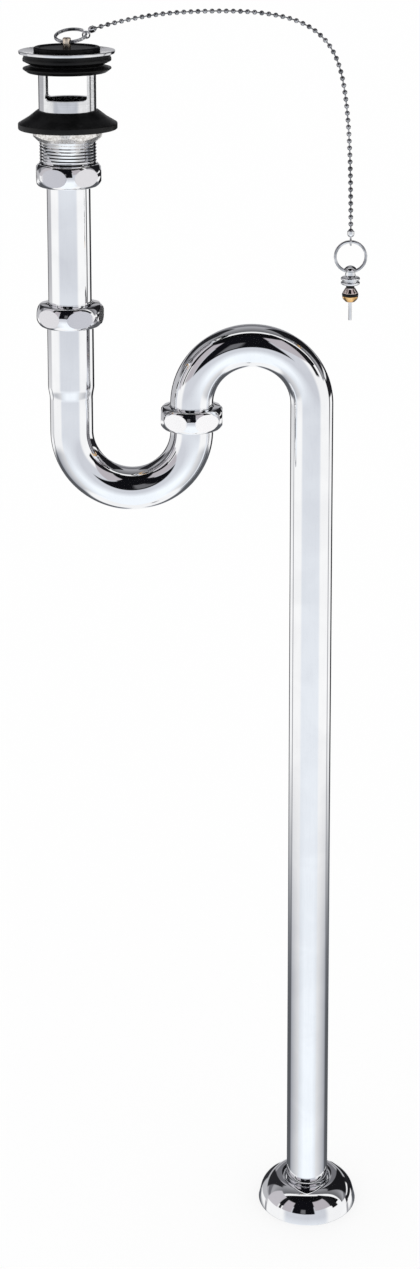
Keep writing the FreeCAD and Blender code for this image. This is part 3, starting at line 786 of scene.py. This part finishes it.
def makeCoupling(node, ringSpot, wireWay, mouth, chainWay):
    sizes = couplingSizes
    bell, skirt, wall, edge = sizes["bell"], sizes["bellLength"], sizes["wall"], sizes["edge"]
    outline = arcOutline((0, 0), bell, -90, 0, 12)
    outline += [(bell, skirt - edge), (bell - edge, skirt), (bell - wall, skirt)]
    outline += arcOutline((0, 0), bell - wall, 0, -90, 12)
    domeCentre = mouth - chainWay * skirt
    cup = turnedMesh(outline, 40)
    cup.transform(Matrix.Translation(domeCentre * mm) @ aimAlong(chainWay))
    wire = arcOutline((sizes["loop"], 0), sizes["wire"], 0, 330, 11)  # twelve points round
    loop = turnedMesh(wire, 40)
    loop.transform(Matrix.Translation(ringSpot * mm) @ aimAlong(wireWay))
    way = (domeCentre - ringSpot).normalized()
    neck = rodMesh(ringSpot + way * sizes["loop"], domeCentre - way * (bell - wall), sizes["neck"], 16)
    whole = joinMeshes([cup, loop, neck])
    return finishPiece(node, whole, "chain_chrome", "plug", [node], finish="stud_chrome")


route = [Vector(spot) for spot in chainSizes["route"]]
around = math.radians(couplingSizes["bearing"])
outward = plugRingTurn @ Vector((math.cos(around), math.sin(around), 0))
topRingSpot = plugRingCentre + outward * ringSizes["radius"]
topWireWay = plugRingTurn @ Vector((-math.sin(around), math.cos(around), 0))
endRingSpot = studRingCentre + Vector((0, 0, ringSizes["radius"]))
makeCoupling("chain_top_coupling", topRingSpot, topWireWay, route[0], (route[1] - route[0]).normalized())
endCoupling = makeCoupling(
    "chain_end_coupling", endRingSpot, Vector((1, 0, 0)), route[-1], (route[-2] - route[-1]).normalized()
)
print("couplings: two bells")


# Chain stud: eye, two discs and a pin, with its washer, cone, seal and nut
studSizes = {
    "x": 205.6,
    "eye": -160.6,
    "eyeRadius": 2.5,
    "eyeReach": 10,
    "sharp": 40,
    "cap": {"top": -156, "radius": 5, "round": 5.5},
    "outline": [
        (5, -159.7, 0.3), (4, -160.3, 0.6), (4, -163.2, 0.6), (3.1, -164.5, 0.2), (7, -164.5, 1.0),
        (7, -166.7, 1.0), (5.4, -167.0, 0.1), (5.4, -167.6, 0.1), (7, -167.9, 1.0), (7, -170.1, 1.0),
        (1.5, -170.1), (1.5, -183.1, 0.1), (1.3, -183.1), (1.3, -197.1, 0.5), (0, -197.1), (0, -150),
    ],
    "pieces": {
        "stud_washer": [(1.55, -170.1), (3.1, -170.1, 0.3), (3.1, -172.7, 0.3), (1.55, -172.7)],
        "stud_cone": [(1.55, -172.7), (3.6, -172.7, 0.3), (6, -176.7, 0.4), (1.55, -176.7)],
        "stud_seal": [(1.55, -176.7), (6, -176.7, 0.4), (6, -178.7, 0.4), (1.55, -178.7)],
        "stud_nut": [(1.55, -178.7), (6, -178.7, 0.3), (5.4, -181, 2.4), (3.4, -183.1, 1.2), (1.55, -183.1)],
    },
}
studFinishes = {
    "stud_washer": ("black_rubber", None),
    "stud_cone": ("turned_brass", "rose_chrome"),
    "stud_seal": ("black_rubber", None),
    "stud_nut": ("turned_brass", None),
}


def studMesh():
    cap, eye, reach = studSizes["cap"], studSizes["eye"], studSizes["eyeReach"]
    halfCap = math.degrees(math.asin(cap["radius"] / cap["round"]))
    outline = arcOutline((0, cap["top"] - cap["round"]), cap["round"], 90, 90 - halfCap, 10)
    outline += softOutline(studSizes["outline"])[:-1]
    hole = rodMesh((-reach, 0, eye), (reach, 0, eye), studSizes["eyeRadius"], 40)
    return cutAway(turnedMesh(outline, 72), [hole])


studPieces = [finishPiece(
    "chain_stud", studMesh(), "ring_chrome", "station_stud", ["chain_stud"], atX(studSizes["x"]),
    studSizes["sharp"], "stud_chrome",
)]
for node, corners in studSizes["pieces"].items():
    slotName, finish = studFinishes[node]
    studPieces.append(turnedPiece(
        node, corners, slotName, "station_stud", studSizes["x"], segments=64, finish=finish
    ))
print("stud:", len(studPieces), "pieces")


# Drain body: flange, windows and thread
drainSizes = {
    "outline": [
        (17, 1.6, 0.4), (24.5, 1.6, 0.8), (33.2, 2.4, 1.2), (35, 2.4, 0.45), (34.7, 0.3, 0.3), (32, 0, 0.3),
        (20.95, 0, 0.3), (20.95, -56.2, 0.4), (19.6, -57.6, 0.4), (19.6, -87.2, 0.3), (19.1, -88, 0.2),
        (17, -88, 0.3),
    ],
    "window": {"width": 30, "top": -13.4, "bottom": -33, "corner": 2.5, "reach": 30},
    "thread": {
        "root": 20.25, "crest": 20.95, "pitch": 2.309, "upper": 0.39,
        "bottom": -86.6, "top": -57.8, "sharp": 30,
    },
}


def makeThreadTree():
    tree, given, result = newTree("screwThread", {
        "Root Radius": floatInput, "Depth": floatInput, "Length": floatInput, "Turns": floatInput,
        "Pitch": floatInput, "Upper Share": floatInput, "Base": vectorInput, "Material": materialInput,
    })
    helix = outOf(tree, "GeometryNodeCurveSpiral", {
        "Resolution": 64, "Rotations": given["Turns"], "Height": given["Length"],
        "Start Radius": given["Root Radius"], "End Radius": given["Root Radius"],
    })
    upright = outOf(tree, "GeometryNodeSetCurveNormal", {"Curve": helix}, mode="Z_UP")
    upper = calc(tree, "MULTIPLY", given["Pitch"], given["Upper Share"])
    ridge = outOf(tree, "GeometryNodeCurvePrimitiveQuadrilateral", {
        "Width": calc(tree, "MULTIPLY", given["Depth"], 2.0),
        "Bottom Height": upper,  # the profile runs downward
        "Top Height": calc(tree, "SUBTRACT", given["Pitch"], upper),
    }, mode="KITE")
    seated = outOf(tree, "GeometryNodeTransform", {
        "Geometry": sweepProfile(tree, upright, ridge), "Translation": given["Base"],
    })
    return endTree(tree, given, result, seated)


def windowCutter(sizes):
    # A prism through the body, with round lower corners
    half, corner, reach = sizes["width"] / 2, sizes["corner"], sizes["reach"]
    top, bottom = sizes["top"], sizes["bottom"]
    outline = softOutline([(-half, top), (-half, bottom, corner), (half, bottom, corner), (half, top)], 8)
    bm = bmesh.new()
    near = [bm.verts.new((u * mm, -reach * mm, z * mm)) for u, z in outline]
    far = [bm.verts.new((u * mm, reach * mm, z * mm)) for u, z in outline]
    bm.faces.new(near)
    bm.faces.new(far)
    for i in range(len(outline)):
        j = (i + 1) % len(outline)
        bm.faces.new((near[i], near[j], far[j], far[i]))
    return bm


drainTurned = turnedMesh(softOutline(drainSizes["outline"]), 144)
drainBody = cutAway(drainTurned, [windowCutter(drainSizes["window"])])
finishPiece("drain_body", drainBody, "satin_chrome", "drain", ["drain_body"])
thread = drainSizes["thread"]
threadLength = thread["top"] - thread["bottom"]
threadMesh = growMesh("drain_thread", makeThreadTree(), {
    "Root Radius": thread["root"] * mm,
    "Depth": (thread["crest"] - thread["root"]) * mm,
    "Length": threadLength * mm,
    "Turns": threadLength / thread["pitch"],
    "Pitch": thread["pitch"] * mm,
    "Upper Share": thread["upper"],
    "Base": Vector((0, 0, thread["bottom"])) * mm,
}, "thread_chrome")
shadeSoftly(threadMesh, thread["sharp"])
handOver("drain_thread", threadMesh, "satin_chrome", "drain", [], "thread_chrome")
print("drain body: windows cut, thread of", round(threadLength / thread["pitch"], 1), "turns")


# Seals and washers round the drain and in the slip joints
riser, down = 89, 178  # centres of the U-bend's outlet leg and of the down pipe
sealSizes = {
    "flange_packing": [
        (21, 0, 0.2), (30.6, 0, 0.5), (32, -3.4, 0.6), (32, -5, 0.5), (26.8, -7.6, 0.5), (26.2, -8.2, 0.5),
        (26.8, -8.8, 0.5), (32, -10.1, 0.4), (32, -10.9, 0.4), (28.6, -13.4, 0.6), (21, -13.4, 0.2),
    ],
    "cone_gasket": [
        (21, -41, 0.2), (22.35, -41, 0.5), (28.6, -45.9, 6), (36, -50.4, 0.8), (36, -54.6, 0.7),
        (21, -54.6, 0.2),
    ],
    "outlet_ferrule": [
        (16.3, -270.4, 0.1), (20.2, -270.4, 0.3), (20.2, -278.5, 0.3), (16.05, -278.5), (16.05, -275),
        (16.3, -275),
    ],
    "plain": [  # node, inner and outer radius, top, bottom, slot, body, x
        ("slip_washer", 21, 27.6, -54.6, -55.8, "pale_plastic", "drain", 0),
        ("tail_packing", 15, 20, -88, -90.2, "black_rubber", "drain", 0),
        ("inlet_slip_ring", 16.3, 20.3, -188.2, -189.4, "pale_plastic", "inlet_joint", 0),
        ("inlet_packing", 16.3, 20.3, -189.4, -192.4, "black_rubber", "inlet_joint", 0),
        ("outlet_slip_ring", 16.3, 19.9, -266.2, -267.4, "pale_plastic", "trap", riser),
        ("outlet_packing", 16.3, 19.9, -267.4, -270.4, "black_rubber", "trap", riser),
        ("inlet_ferrule", 17.55, 20.6, -192.4, -200.5, "turned_brass", "trap", 0),
    ],
    "edge": 0.3,
    "edgeShare": 0.3,  # the most of the thickness that an edge takes
}
for node in ("flange_packing", "cone_gasket"):
    turnedPiece(node, sealSizes[node], "black_rubber", "drain", segments=128)
for node, inner, outer, top, bottom, slotName, body, place in sealSizes["plain"]:
    edge = min(sealSizes["edge"], (top - bottom) * sealSizes["edgeShare"])
    corners = [(inner, top, edge), (outer, top, edge), (outer, bottom, edge), (inner, bottom, edge)]
    turnedPiece(node, corners, slotName, body, place, 3)
turnedPiece("outlet_ferrule", sealSizes["outlet_ferrule"], "turned_brass", "trap", riser)
print("seals: packings, washers and ferrules")


# Lock nut and slip nuts
nutSizes = {
    "height": 16.5,
    "drop": 3.5,
    "lip": 4.2,
    "hole": 16.3,
    "edge": 0.35,
    "rows": 90,
    "lockNut": {"flats": 49, "turn": 30, "outer": [(22.15, -62.8), (26.8, -58.2), (26.8, -55.8)], "bore": 21},
    "slipNuts": [
        {"node": "tail_nut", "body": "drain", "x": 0, "top": -79.9, "radius": 25.3, "flats": 46.5,
         "turn": -22.5, "bore": 21.25, "lipOnTop": False, "finish": "nut_chrome"},
        {"node": "inlet_slip_nut", "body": "inlet_joint", "x": 0, "top": -184, "radius": 25.3, "flats": 46.5,
         "turn": 22, "bore": 20.9, "lipOnTop": True, "finish": "nut_chrome"},
        {"node": "outlet_slip_nut", "body": "trap", "x": riser, "top": -262, "radius": 24.7, "flats": 45.4,
         "turn": 30, "bore": 20.5, "lipOnTop": True, "finish": "bright_nut_chrome"},
    ],
}


def evenOutline(points, steps):
    # The same open outline with its points spread evenly
    nearly = 1e-9
    lengths = [0]
    for a, b in zip(points, points[1:]):
        lengths.append(lengths[-1] + math.dist(a, b))
    spread = []
    for step in range(steps + 1):
        target = lengths[-1] * step / steps
        k = next(i for i in range(len(points) - 1) if lengths[i + 1] >= target - nearly)
        part = (target - lengths[k]) / (lengths[k + 1] - lengths[k])
        spread.append(tuple(a + (b - a) * part for a, b in zip(points[k], points[k + 1])))
    return spread


def makeSlipNut(nut):
    height, drop, edge = nutSizes["height"], nutSizes["drop"], nutSizes["edge"]
    top = nut["top"]
    bottom = top - height
    middle = top - height / 2
    bulge = ((height / 2) ** 2 + drop ** 2) / (2 * drop)
    halfTurn = math.degrees(math.asin(height / 2 / bulge))
    barrel = arcOutline((nut["radius"] - bulge, middle), bulge, -halfTurn, halfTurn, 48)
    barrel = [(barrel[0][0] - edge, bottom)] + barrel[2:-2] + [(barrel[-1][0] - edge, top)]
    hole, bore, lip = nutSizes["hole"], nut["bore"], nutSizes["lip"]
    if nut["lipOnTop"]:
        inner = [(hole + edge, top), (hole, top - edge), (hole, top - lip), (bore, top - lip), (bore, bottom)]
    else:
        inner = [(bore, top), (bore, bottom + lip), (hole, bottom + lip)]
        inner += [(hole, bottom + edge), (hole + edge, bottom)]
    bm = hexNutMesh(evenOutline(barrel, nutSizes["rows"]), inner, nut["flats"], nut["turn"])
    node, place = nut["node"], atX(nut["x"])
    finishPiece(node, bm, "nut_chrome", nut["body"], [node], place, finish=nut["finish"])


for nut in nutSizes["slipNuts"]:
    makeSlipNut(nut)
lockNut = nutSizes["lockNut"]
lockInner = [(lockNut["bore"], lockNut["outer"][-1][1]), (lockNut["bore"], lockNut["outer"][0][1])]
lockOuter = evenOutline(lockNut["outer"], nutSizes["rows"])
lockMesh = hexNutMesh(lockOuter, lockInner, lockNut["flats"], lockNut["turn"])
finishPiece("lock_nut", lockMesh, "pale_chrome", "drain", ["lock_nut"])
print("nuts:", 1 + len(nutSizes["slipNuts"]))


# Tubes: tailpiece, U-bend with its swaged socket, S-bend with the long down pipe
tubeSizes = {
    "radius": 16,
    "bore": 15,
    "bend": 44.5,
    "bendSteps": 72,
    "dropSteps": 12,
    "tail": [
        (15, -90.2), (20, -90.2, 0.3), (20, -92.2, 0.3), (16, -92.2, 0.4), (16, -150), (16, -227, 0.3),
        (15, -227, 0.2),
    ],
    "socket": {"radius": 17.2, "bore": 16.5, "top": -192.4, "bottom": -246, "neck": -256},
    "edge": 0.2,
    "outletEdge": 0.15,
    "bendLevel": -281,
    "outletEnd": -275,
    "crownLevel": -260.7,
    "start": -274,
    "floor": -910,
}


def bendStations(centreX, centreZ, first, last, radius):
    stations = []
    bend, steps = tubeSizes["bend"], tubeSizes["bendSteps"]
    for step in range(steps + 1):
        angle = math.radians(first + (last - first) * step / steps)
        c, s = math.cos(angle), math.sin(angle)
        stations.append((centreX + bend * c, centreZ + bend * s, -c, -s, radius))
    return stations


def neckStations(outer, inner, steps=14):
    # The socket narrows to the tube in a smooth step
    socket = tubeSizes["socket"]
    stations = []
    for step in range(steps + 1):
        share = step / steps
        radius = outer + (inner - outer) * (0.5 - 0.5 * math.cos(math.pi * share))
        stations.append((0, socket["bottom"] + (socket["neck"] - socket["bottom"]) * share, 1, 0, radius))
    return stations


def uBendMesh():
    socket, bend, level = tubeSizes["socket"], tubeSizes["bend"], tubeSizes["bendLevel"]
    tube, bore, end = tubeSizes["radius"], tubeSizes["bore"], tubeSizes["outletEnd"]
    edge, outletEdge = tubeSizes["edge"], tubeSizes["outletEdge"]
    outside = [(0, socket["top"] - edge, 1, 0, socket["radius"])] + neckStations(socket["radius"], tube)
    outside += bendStations(bend, level, 180, 360, tube) + [(2 * bend, end - outletEdge, -1, 0, tube)]
    inside = [(2 * bend, end, -1, 0, bore + outletEdge)] + bendStations(bend, level, 360, 180, bore)
    inside += neckStations(socket["bore"], bore)[::-1] + [(0, socket["top"], 1, 0, socket["bore"] + edge)]
    return tubeMesh(outside + inside)


def sBendMesh():
    bend, level, start = tubeSizes["bend"], tubeSizes["crownLevel"], tubeSizes["start"]
    tube, bore, floor = tubeSizes["radius"], tubeSizes["bore"], tubeSizes["floor"]
    edge, steps = tubeSizes["edge"], tubeSizes["dropSteps"]
    drop = [level + (floor - level) * k / steps for k in range(1, steps + 1)]
    outside = [(2 * bend, start + edge, 1, 0, tube)] + bendStations(3 * bend, level, 180, 0, tube)
    outside += [(4 * bend, z, -1, 0, tube) for z in drop]
    inside = [(4 * bend, floor, -1, 0, bore)] + bendStations(3 * bend, level, 0, 180, bore)
    inside += [(2 * bend, start, 1, 0, bore + edge)]
    return tubeMesh(outside + inside)


finishPiece("tail_tube", turnedMesh(softOutline(tubeSizes["tail"])), "tube_chrome", "drain", ["tailpiece"])
finishPiece("j_bend", uBendMesh(), "tube_chrome", "trap", ["j_bend"])
finishPiece("s_pipe", sBendMesh(), "tube_chrome", "outlet", ["s_pipe"])
print("tubes: tailpiece, U-bend, S-bend")


# Escutcheon: a spun shell, its wall leaning in and its lip curled down to the pipe
coverSizes = {
    "radius": 38,
    "edge": 0.3,
    "foot": 0.6,
    "shoulder": (36.2, 7.5),
    "pull": (34.9, 12.3),
    "flat": 7,
    "height": 20.2,
    "lip": 4.5,
    "wall": 1,
    "inset": 0.3,
    "hole": 16.3,
    "floor": -910,
}


def sweepOutline(first, pull, flat, last, steps):
    # A smooth curve from the wall to the flat top
    points = []
    ends = [Vector(spot) for spot in (first, pull, flat, last)]
    for step in range(steps + 1):
        t = step / steps
        shares = ((1 - t) ** 3, 3 * t * (1 - t) ** 2, 3 * t * t * (1 - t), t ** 3)
        spot = sum((end * share for end, share in zip(ends, shares)), Vector((0, 0)))
        points.append(tuple(spot))
    return points


def coverOutline():
    sizes = coverSizes
    floor, wall, radius, lip = sizes["floor"], sizes["wall"], sizes["radius"], sizes["lip"]
    edge, foot, flat, inset = sizes["edge"], sizes["foot"], sizes["flat"], sizes["inset"] * sizes["wall"]
    crest = sizes["hole"] + lip
    top = floor + sizes["height"]
    shoulder = Vector(sizes["shoulder"]) + Vector((0, floor))
    pull = Vector(sizes["pull"]) + Vector((0, floor))
    inward = Vector((-wall, -inset))
    outside = [(radius - edge, floor), (radius, floor + edge), (radius, floor + foot)]
    outside += sweepOutline(shoulder, pull, (crest + flat, top), (crest, top), 40)
    outside += arcOutline((crest, top - lip), lip, 90, 180, 20)[1:]
    inside = arcOutline((crest, top - lip), lip - wall, 180, 90, 16)
    innerFlat = (crest + flat - inset, top - wall)
    inside += sweepOutline(shoulder + inward, pull + inward, innerFlat, (crest, top - wall), 30)[::-1][1:]
    return outside + inside + [(radius - wall, floor + foot), (radius - wall, floor)]


coverMesh = turnedMesh(coverOutline(), 144)
finishPiece("floor_escutcheon", coverMesh, "tube_chrome", "floor_cover", ["escutcheon"], atX(down))
print("escutcheon: spun shell")


# Plug: rubber stopper on a brass post
plugSizes = {
    "eye": 8.2,
    "eyeRadius": 2.1,
    "eyeReach": 8,
    "bearing": -12,
    "sharp": 40,
    "stopper": [
        (2.05, 4.1), (20.5, 4.1, 0.6), (21.4, 5, 0.4), (24, 5, 1.1), (24, 1.6, 0.5), (16.5, 1.6, 0.4),
        (15.3, -11, 0.8), (2.05, -11),
    ],
    "washer": [(2.05, -11), (6.5, -11, 0.2), (6.5, -12, 0.3), (2.05, -12)],
    "post": [
        (0, 11.5), (3, 11.5, 1.1), (3, 4.1, 0.1), (2, 4.1), (2, -12), (3.2, -12, 0.2), (3.2, -13, 0.4),
        (0, -13),
    ],
}
turnedPiece("plug_stopper", plugSizes["stopper"], "plug_rubber", "plug", steps=6, segments=128)
turnedPiece("plug_washer", plugSizes["washer"], "turned_brass", "plug")
postMesh = turnedMesh(softOutline(plugSizes["post"], 6), 64)
eyeReach, eyeHeight = plugSizes["eyeReach"], plugSizes["eye"]
eyeRod = rodMesh((-eyeReach, 0, eyeHeight), (eyeReach, 0, eyeHeight), plugSizes["eyeRadius"], 40)
finishPiece(
    "plug_post", cutAway(postMesh, [eyeRod]), "turned_brass", "plug", ["plug_post"],
    turnAbout("Z", plugSizes["bearing"]).to_4x4(), plugSizes["sharp"], "post_brass",
)
print("plug: stopper, washer and post")


# Studio: white all round for the camera, with dark flags and grey panels for the chrome to mirror.
# az and el are compass and height in degrees, 0 towards the camera and plus to its right.
# u and v are places on a flat ceiling at height 1, u to the right and v towards the camera.
studio = {
    "ambient": 1.0,
    "lowestRise": 0.02,
    "horizon": (0.1, 0.14),
    "front": {
        "az": (-54, 46), "el": (-33, -10), "top": (54, 62), "soft": 7,
        "low": (1, 1.05, 1.1), "high": (0.66, 0.68, 0.73),
    },
    "eyeLevel": [
        {"az": (-150, -106), "el": (-16, 50), "soft": 4, "colour": (0.52, 0.52, 0.54)},
        {"az": (-116, -109), "el": (-60, -17), "soft": 2, "colour": (0.3, 0.3, 0.32)},
        {"az": (-169, -147), "el": (-60, 60), "soft": 2, "colour": (0.03, 0.03, 0.035)},
        {"az": (104, 112), "el": (-60, -17), "soft": 2, "colour": (0.4, 0.4, 0.42)},
        {"az": (104, 112), "el": (-16, 60), "soft": 1.5, "colour": (0.04, 0.04, 0.045)},
        {"az": (136, 165), "el": (-60, 60), "soft": 2, "colour": (0.012, 0.012, 0.015)},
        {"az": (104, 168), "el": (-8.6, 4), "soft": 1, "colour": (0.015, 0.015, 0.018)},
    ],
    "behind": [  # on both sides of straight behind
        {"az": (146, 190), "el": (2.5, 12), "soft": 1, "colour": (0.5, 0.5, 0.52)},
        {"az": (146, 190), "el": (12, 15.5), "soft": 1, "colour": (0.03, 0.03, 0.035)},
    ],
    "lowSides": {
        "el": (-60, -27), "soft": 4, "fade": (24, 116), "end": (172, 177), "colour": (0.32, 0.335, 0.375),
    },
    "lowFlags": {"az": (112, 170), "el": (-58, -27), "soft": (5, 4), "colour": (0.1, 0.105, 0.115)},
    "back": {
        "v": (-3.6, -0.03), "soft": 0.015, "fade": (-0.1, -0.7),
        "near": (0.15, 0.15, 0.16), "far": (0.39, 0.39, 0.41),
    },
    "shelf": {"v": (-2.2, -1.05), "soft": 0.12, "colour": (0.17, 0.17, 0.185)},
    "ceiling": {"u": (-2.4, 2.4), "v": (0.12, 1.15), "soft": (0.05, 0.015), "colour": (0.004, 0.004, 0.005)},
    "overhead": [
        {"az": (-36, 17), "el": (4, 62), "soft": 1.5, "colour": (0.005, 0.005, 0.007)},
        {"az": (-16, -5), "el": (9, 30), "soft": 2, "colour": (0.15, 0.15, 0.16)},
        {"az": (19, 60), "el": (24, 57), "soft": 1.5, "colour": (0.5, 0.47, 0.5)},
        {"az": (63, 78), "el": (11, 72), "soft": 1.5, "colour": (0.01, 0.01, 0.012)},
        {"az": (-62, -38), "el": (4, 48), "soft": 1.5, "colour": (0.5, 0.47, 0.5)},
        {"az": (-71, -65), "el": (3, 60), "soft": 1.5, "colour": (0.01, 0.01, 0.012)},
        {"az": (-108, -74), "el": (0, 50), "soft": 1.5, "colour": (0.58, 0.56, 0.59)},
        {"az": (112, 160), "el": (9, 58), "soft": 2, "colour": (0.01, 0.01, 0.012)},
        {"az": (-160, -128), "el": (9, 52), "soft": 2, "colour": (0.02, 0.02, 0.023)},
    ],
}
white = (1, 1, 1)


def band(tree, value, limits, soft):
    # 1 between two limits, with soft edges
    low, high = limits
    rising = remap(tree, value, low - soft, low + soft)
    falling = remap(tree, value, high - soft, high + soft, 1.0, 0.0)
    return calc(tree, "MULTIPLY", rising, falling)


def makeStudio():
    world = bpy.data.worlds.new("studio")
    scene.world = world
    world.use_nodes = True
    tree = world.node_tree
    tree.nodes.clear()
    way = addNode(tree, "ShaderNodeTexCoord").outputs["Generated"]
    parts = addNode(tree, "ShaderNodeSeparateXYZ", {0: way}).outputs
    toFront = calc(tree, "MULTIPLY", parts["Y"], -1.0)
    azimuth = calc(tree, "DEGREES", calc(tree, "ARCTAN2", parts["X"], toFront))
    sideways = calc(tree, "ABSOLUTE", azimuth)
    elevation = calc(tree, "DEGREES", calc(tree, "ARCSINE", parts["Z"]))
    rise = calc(tree, "MAXIMUM", parts["Z"], studio["lowestRise"])
    u = calc(tree, "DIVIDE", parts["X"], rise)
    v = calc(tree, "DIVIDE", toFront, rise)
    colour = white

    def paint(tint, mask, *others):
        nonlocal colour
        for other in others:
            mask = calc(tree, "MULTIPLY", mask, other)
        colour = blendColours(tree, mask, colour, tint)

    def paintPanels(panels, compass=azimuth):
        for panel in panels:
            wide = band(tree, compass, panel["az"], panel["soft"])
            paint(panel["colour"], wide, band(tree, elevation, panel["el"], panel["soft"]))

    front, low, flag = studio["front"], studio["lowSides"], studio["lowFlags"]
    back, shelf, ceiling = studio["back"], studio["shelf"], studio["ceiling"]
    upward = remap(tree, elevation, *front["el"], curve="LINEAR")
    glow = blendColours(tree, upward, front["low"], front["high"])
    under = remap(tree, elevation, *front["top"], 1.0, 0.0)
    paint(glow, band(tree, azimuth, front["az"], front["soft"]), under)
    paintPanels(studio["eyeLevel"])
    paintPanels(studio["behind"], sideways)
    fade = remap(tree, sideways, *low["fade"], curve="LINEAR")
    ending = remap(tree, sideways, *low["end"], 1.0, 0.0)
    paint(low["colour"], band(tree, elevation, low["el"], low["soft"]), fade, ending)
    softAz, softEl = flag["soft"]
    paint(flag["colour"], band(tree, sideways, flag["az"], softAz), band(tree, elevation, flag["el"], softEl))
    above = remap(tree, parts["Z"], *studio["horizon"])
    shade = blendColours(tree, remap(tree, v, *back["fade"], curve="LINEAR"), back["near"], back["far"])
    shade = blendColours(tree, band(tree, v, shelf["v"], shelf["soft"]), shade, shelf["colour"])
    paint(shade, band(tree, v, back["v"], back["soft"]), above)
    softU, softV = ceiling["soft"]
    paint(ceiling["colour"], band(tree, v, ceiling["v"], softV), band(tree, u, ceiling["u"], softU), above)
    paintPanels(studio["overhead"])
    rays = addNode(tree, "ShaderNodeLightPath").outputs
    lit = blendColours(tree, rays["Is Glossy Ray"], (studio["ambient"],) * 3, colour)
    shown = blendColours(tree, rays["Is Camera Ray"], lit, white)
    background = outOf(tree, "ShaderNodeBackground", {"Color": shown, "Strength": 1.0})
    addNode(tree, "ShaderNodeOutputWorld", {"Surface": background})


# Floor: pale paper that keeps the shadow and looks nearly white to the camera
floorSizes = {"half": 12, "gap": 0.2, "paper": 0.985, "glow": 0.7}


def makeFloor():
    bm = bmesh.new()
    bmesh.ops.create_grid(bm, x_segments=1, y_segments=1, size=floorSizes["half"])
    bm.transform(Matrix.Translation(Vector((down, 0, tubeSizes["floor"] - floorSizes["gap"])) * mm))
    mesh = bpy.data.meshes.new("floor")
    bm.to_mesh(mesh)
    bm.free()
    floor = bpy.data.objects.new("floor", mesh)
    scene.collection.objects.link(floor)
    material = bpy.data.materials.new("paleFloor")
    material.use_nodes = True
    tree = material.node_tree
    tree.nodes.clear()
    paper = outOf(tree, "ShaderNodeBsdfDiffuse", {"Color": (*(floorSizes["paper"],) * 3, 1)})
    glow = outOf(tree, "ShaderNodeEmission", {"Color": (*white, 1), "Strength": 1.0})
    seen = addNode(tree, "ShaderNodeLightPath").outputs["Is Camera Ray"]
    share = calc(tree, "MULTIPLY", seen, floorSizes["glow"])
    mixed = outOf(tree, "ShaderNodeMixShader", {0: share, 1: paper, 2: glow})
    addNode(tree, "ShaderNodeOutputMaterial", {"Surface": mixed})
    mesh.materials.append(material)
    floor.visible_glossy = False


makeStudio()
makeFloor()
print("studio: world and floor")
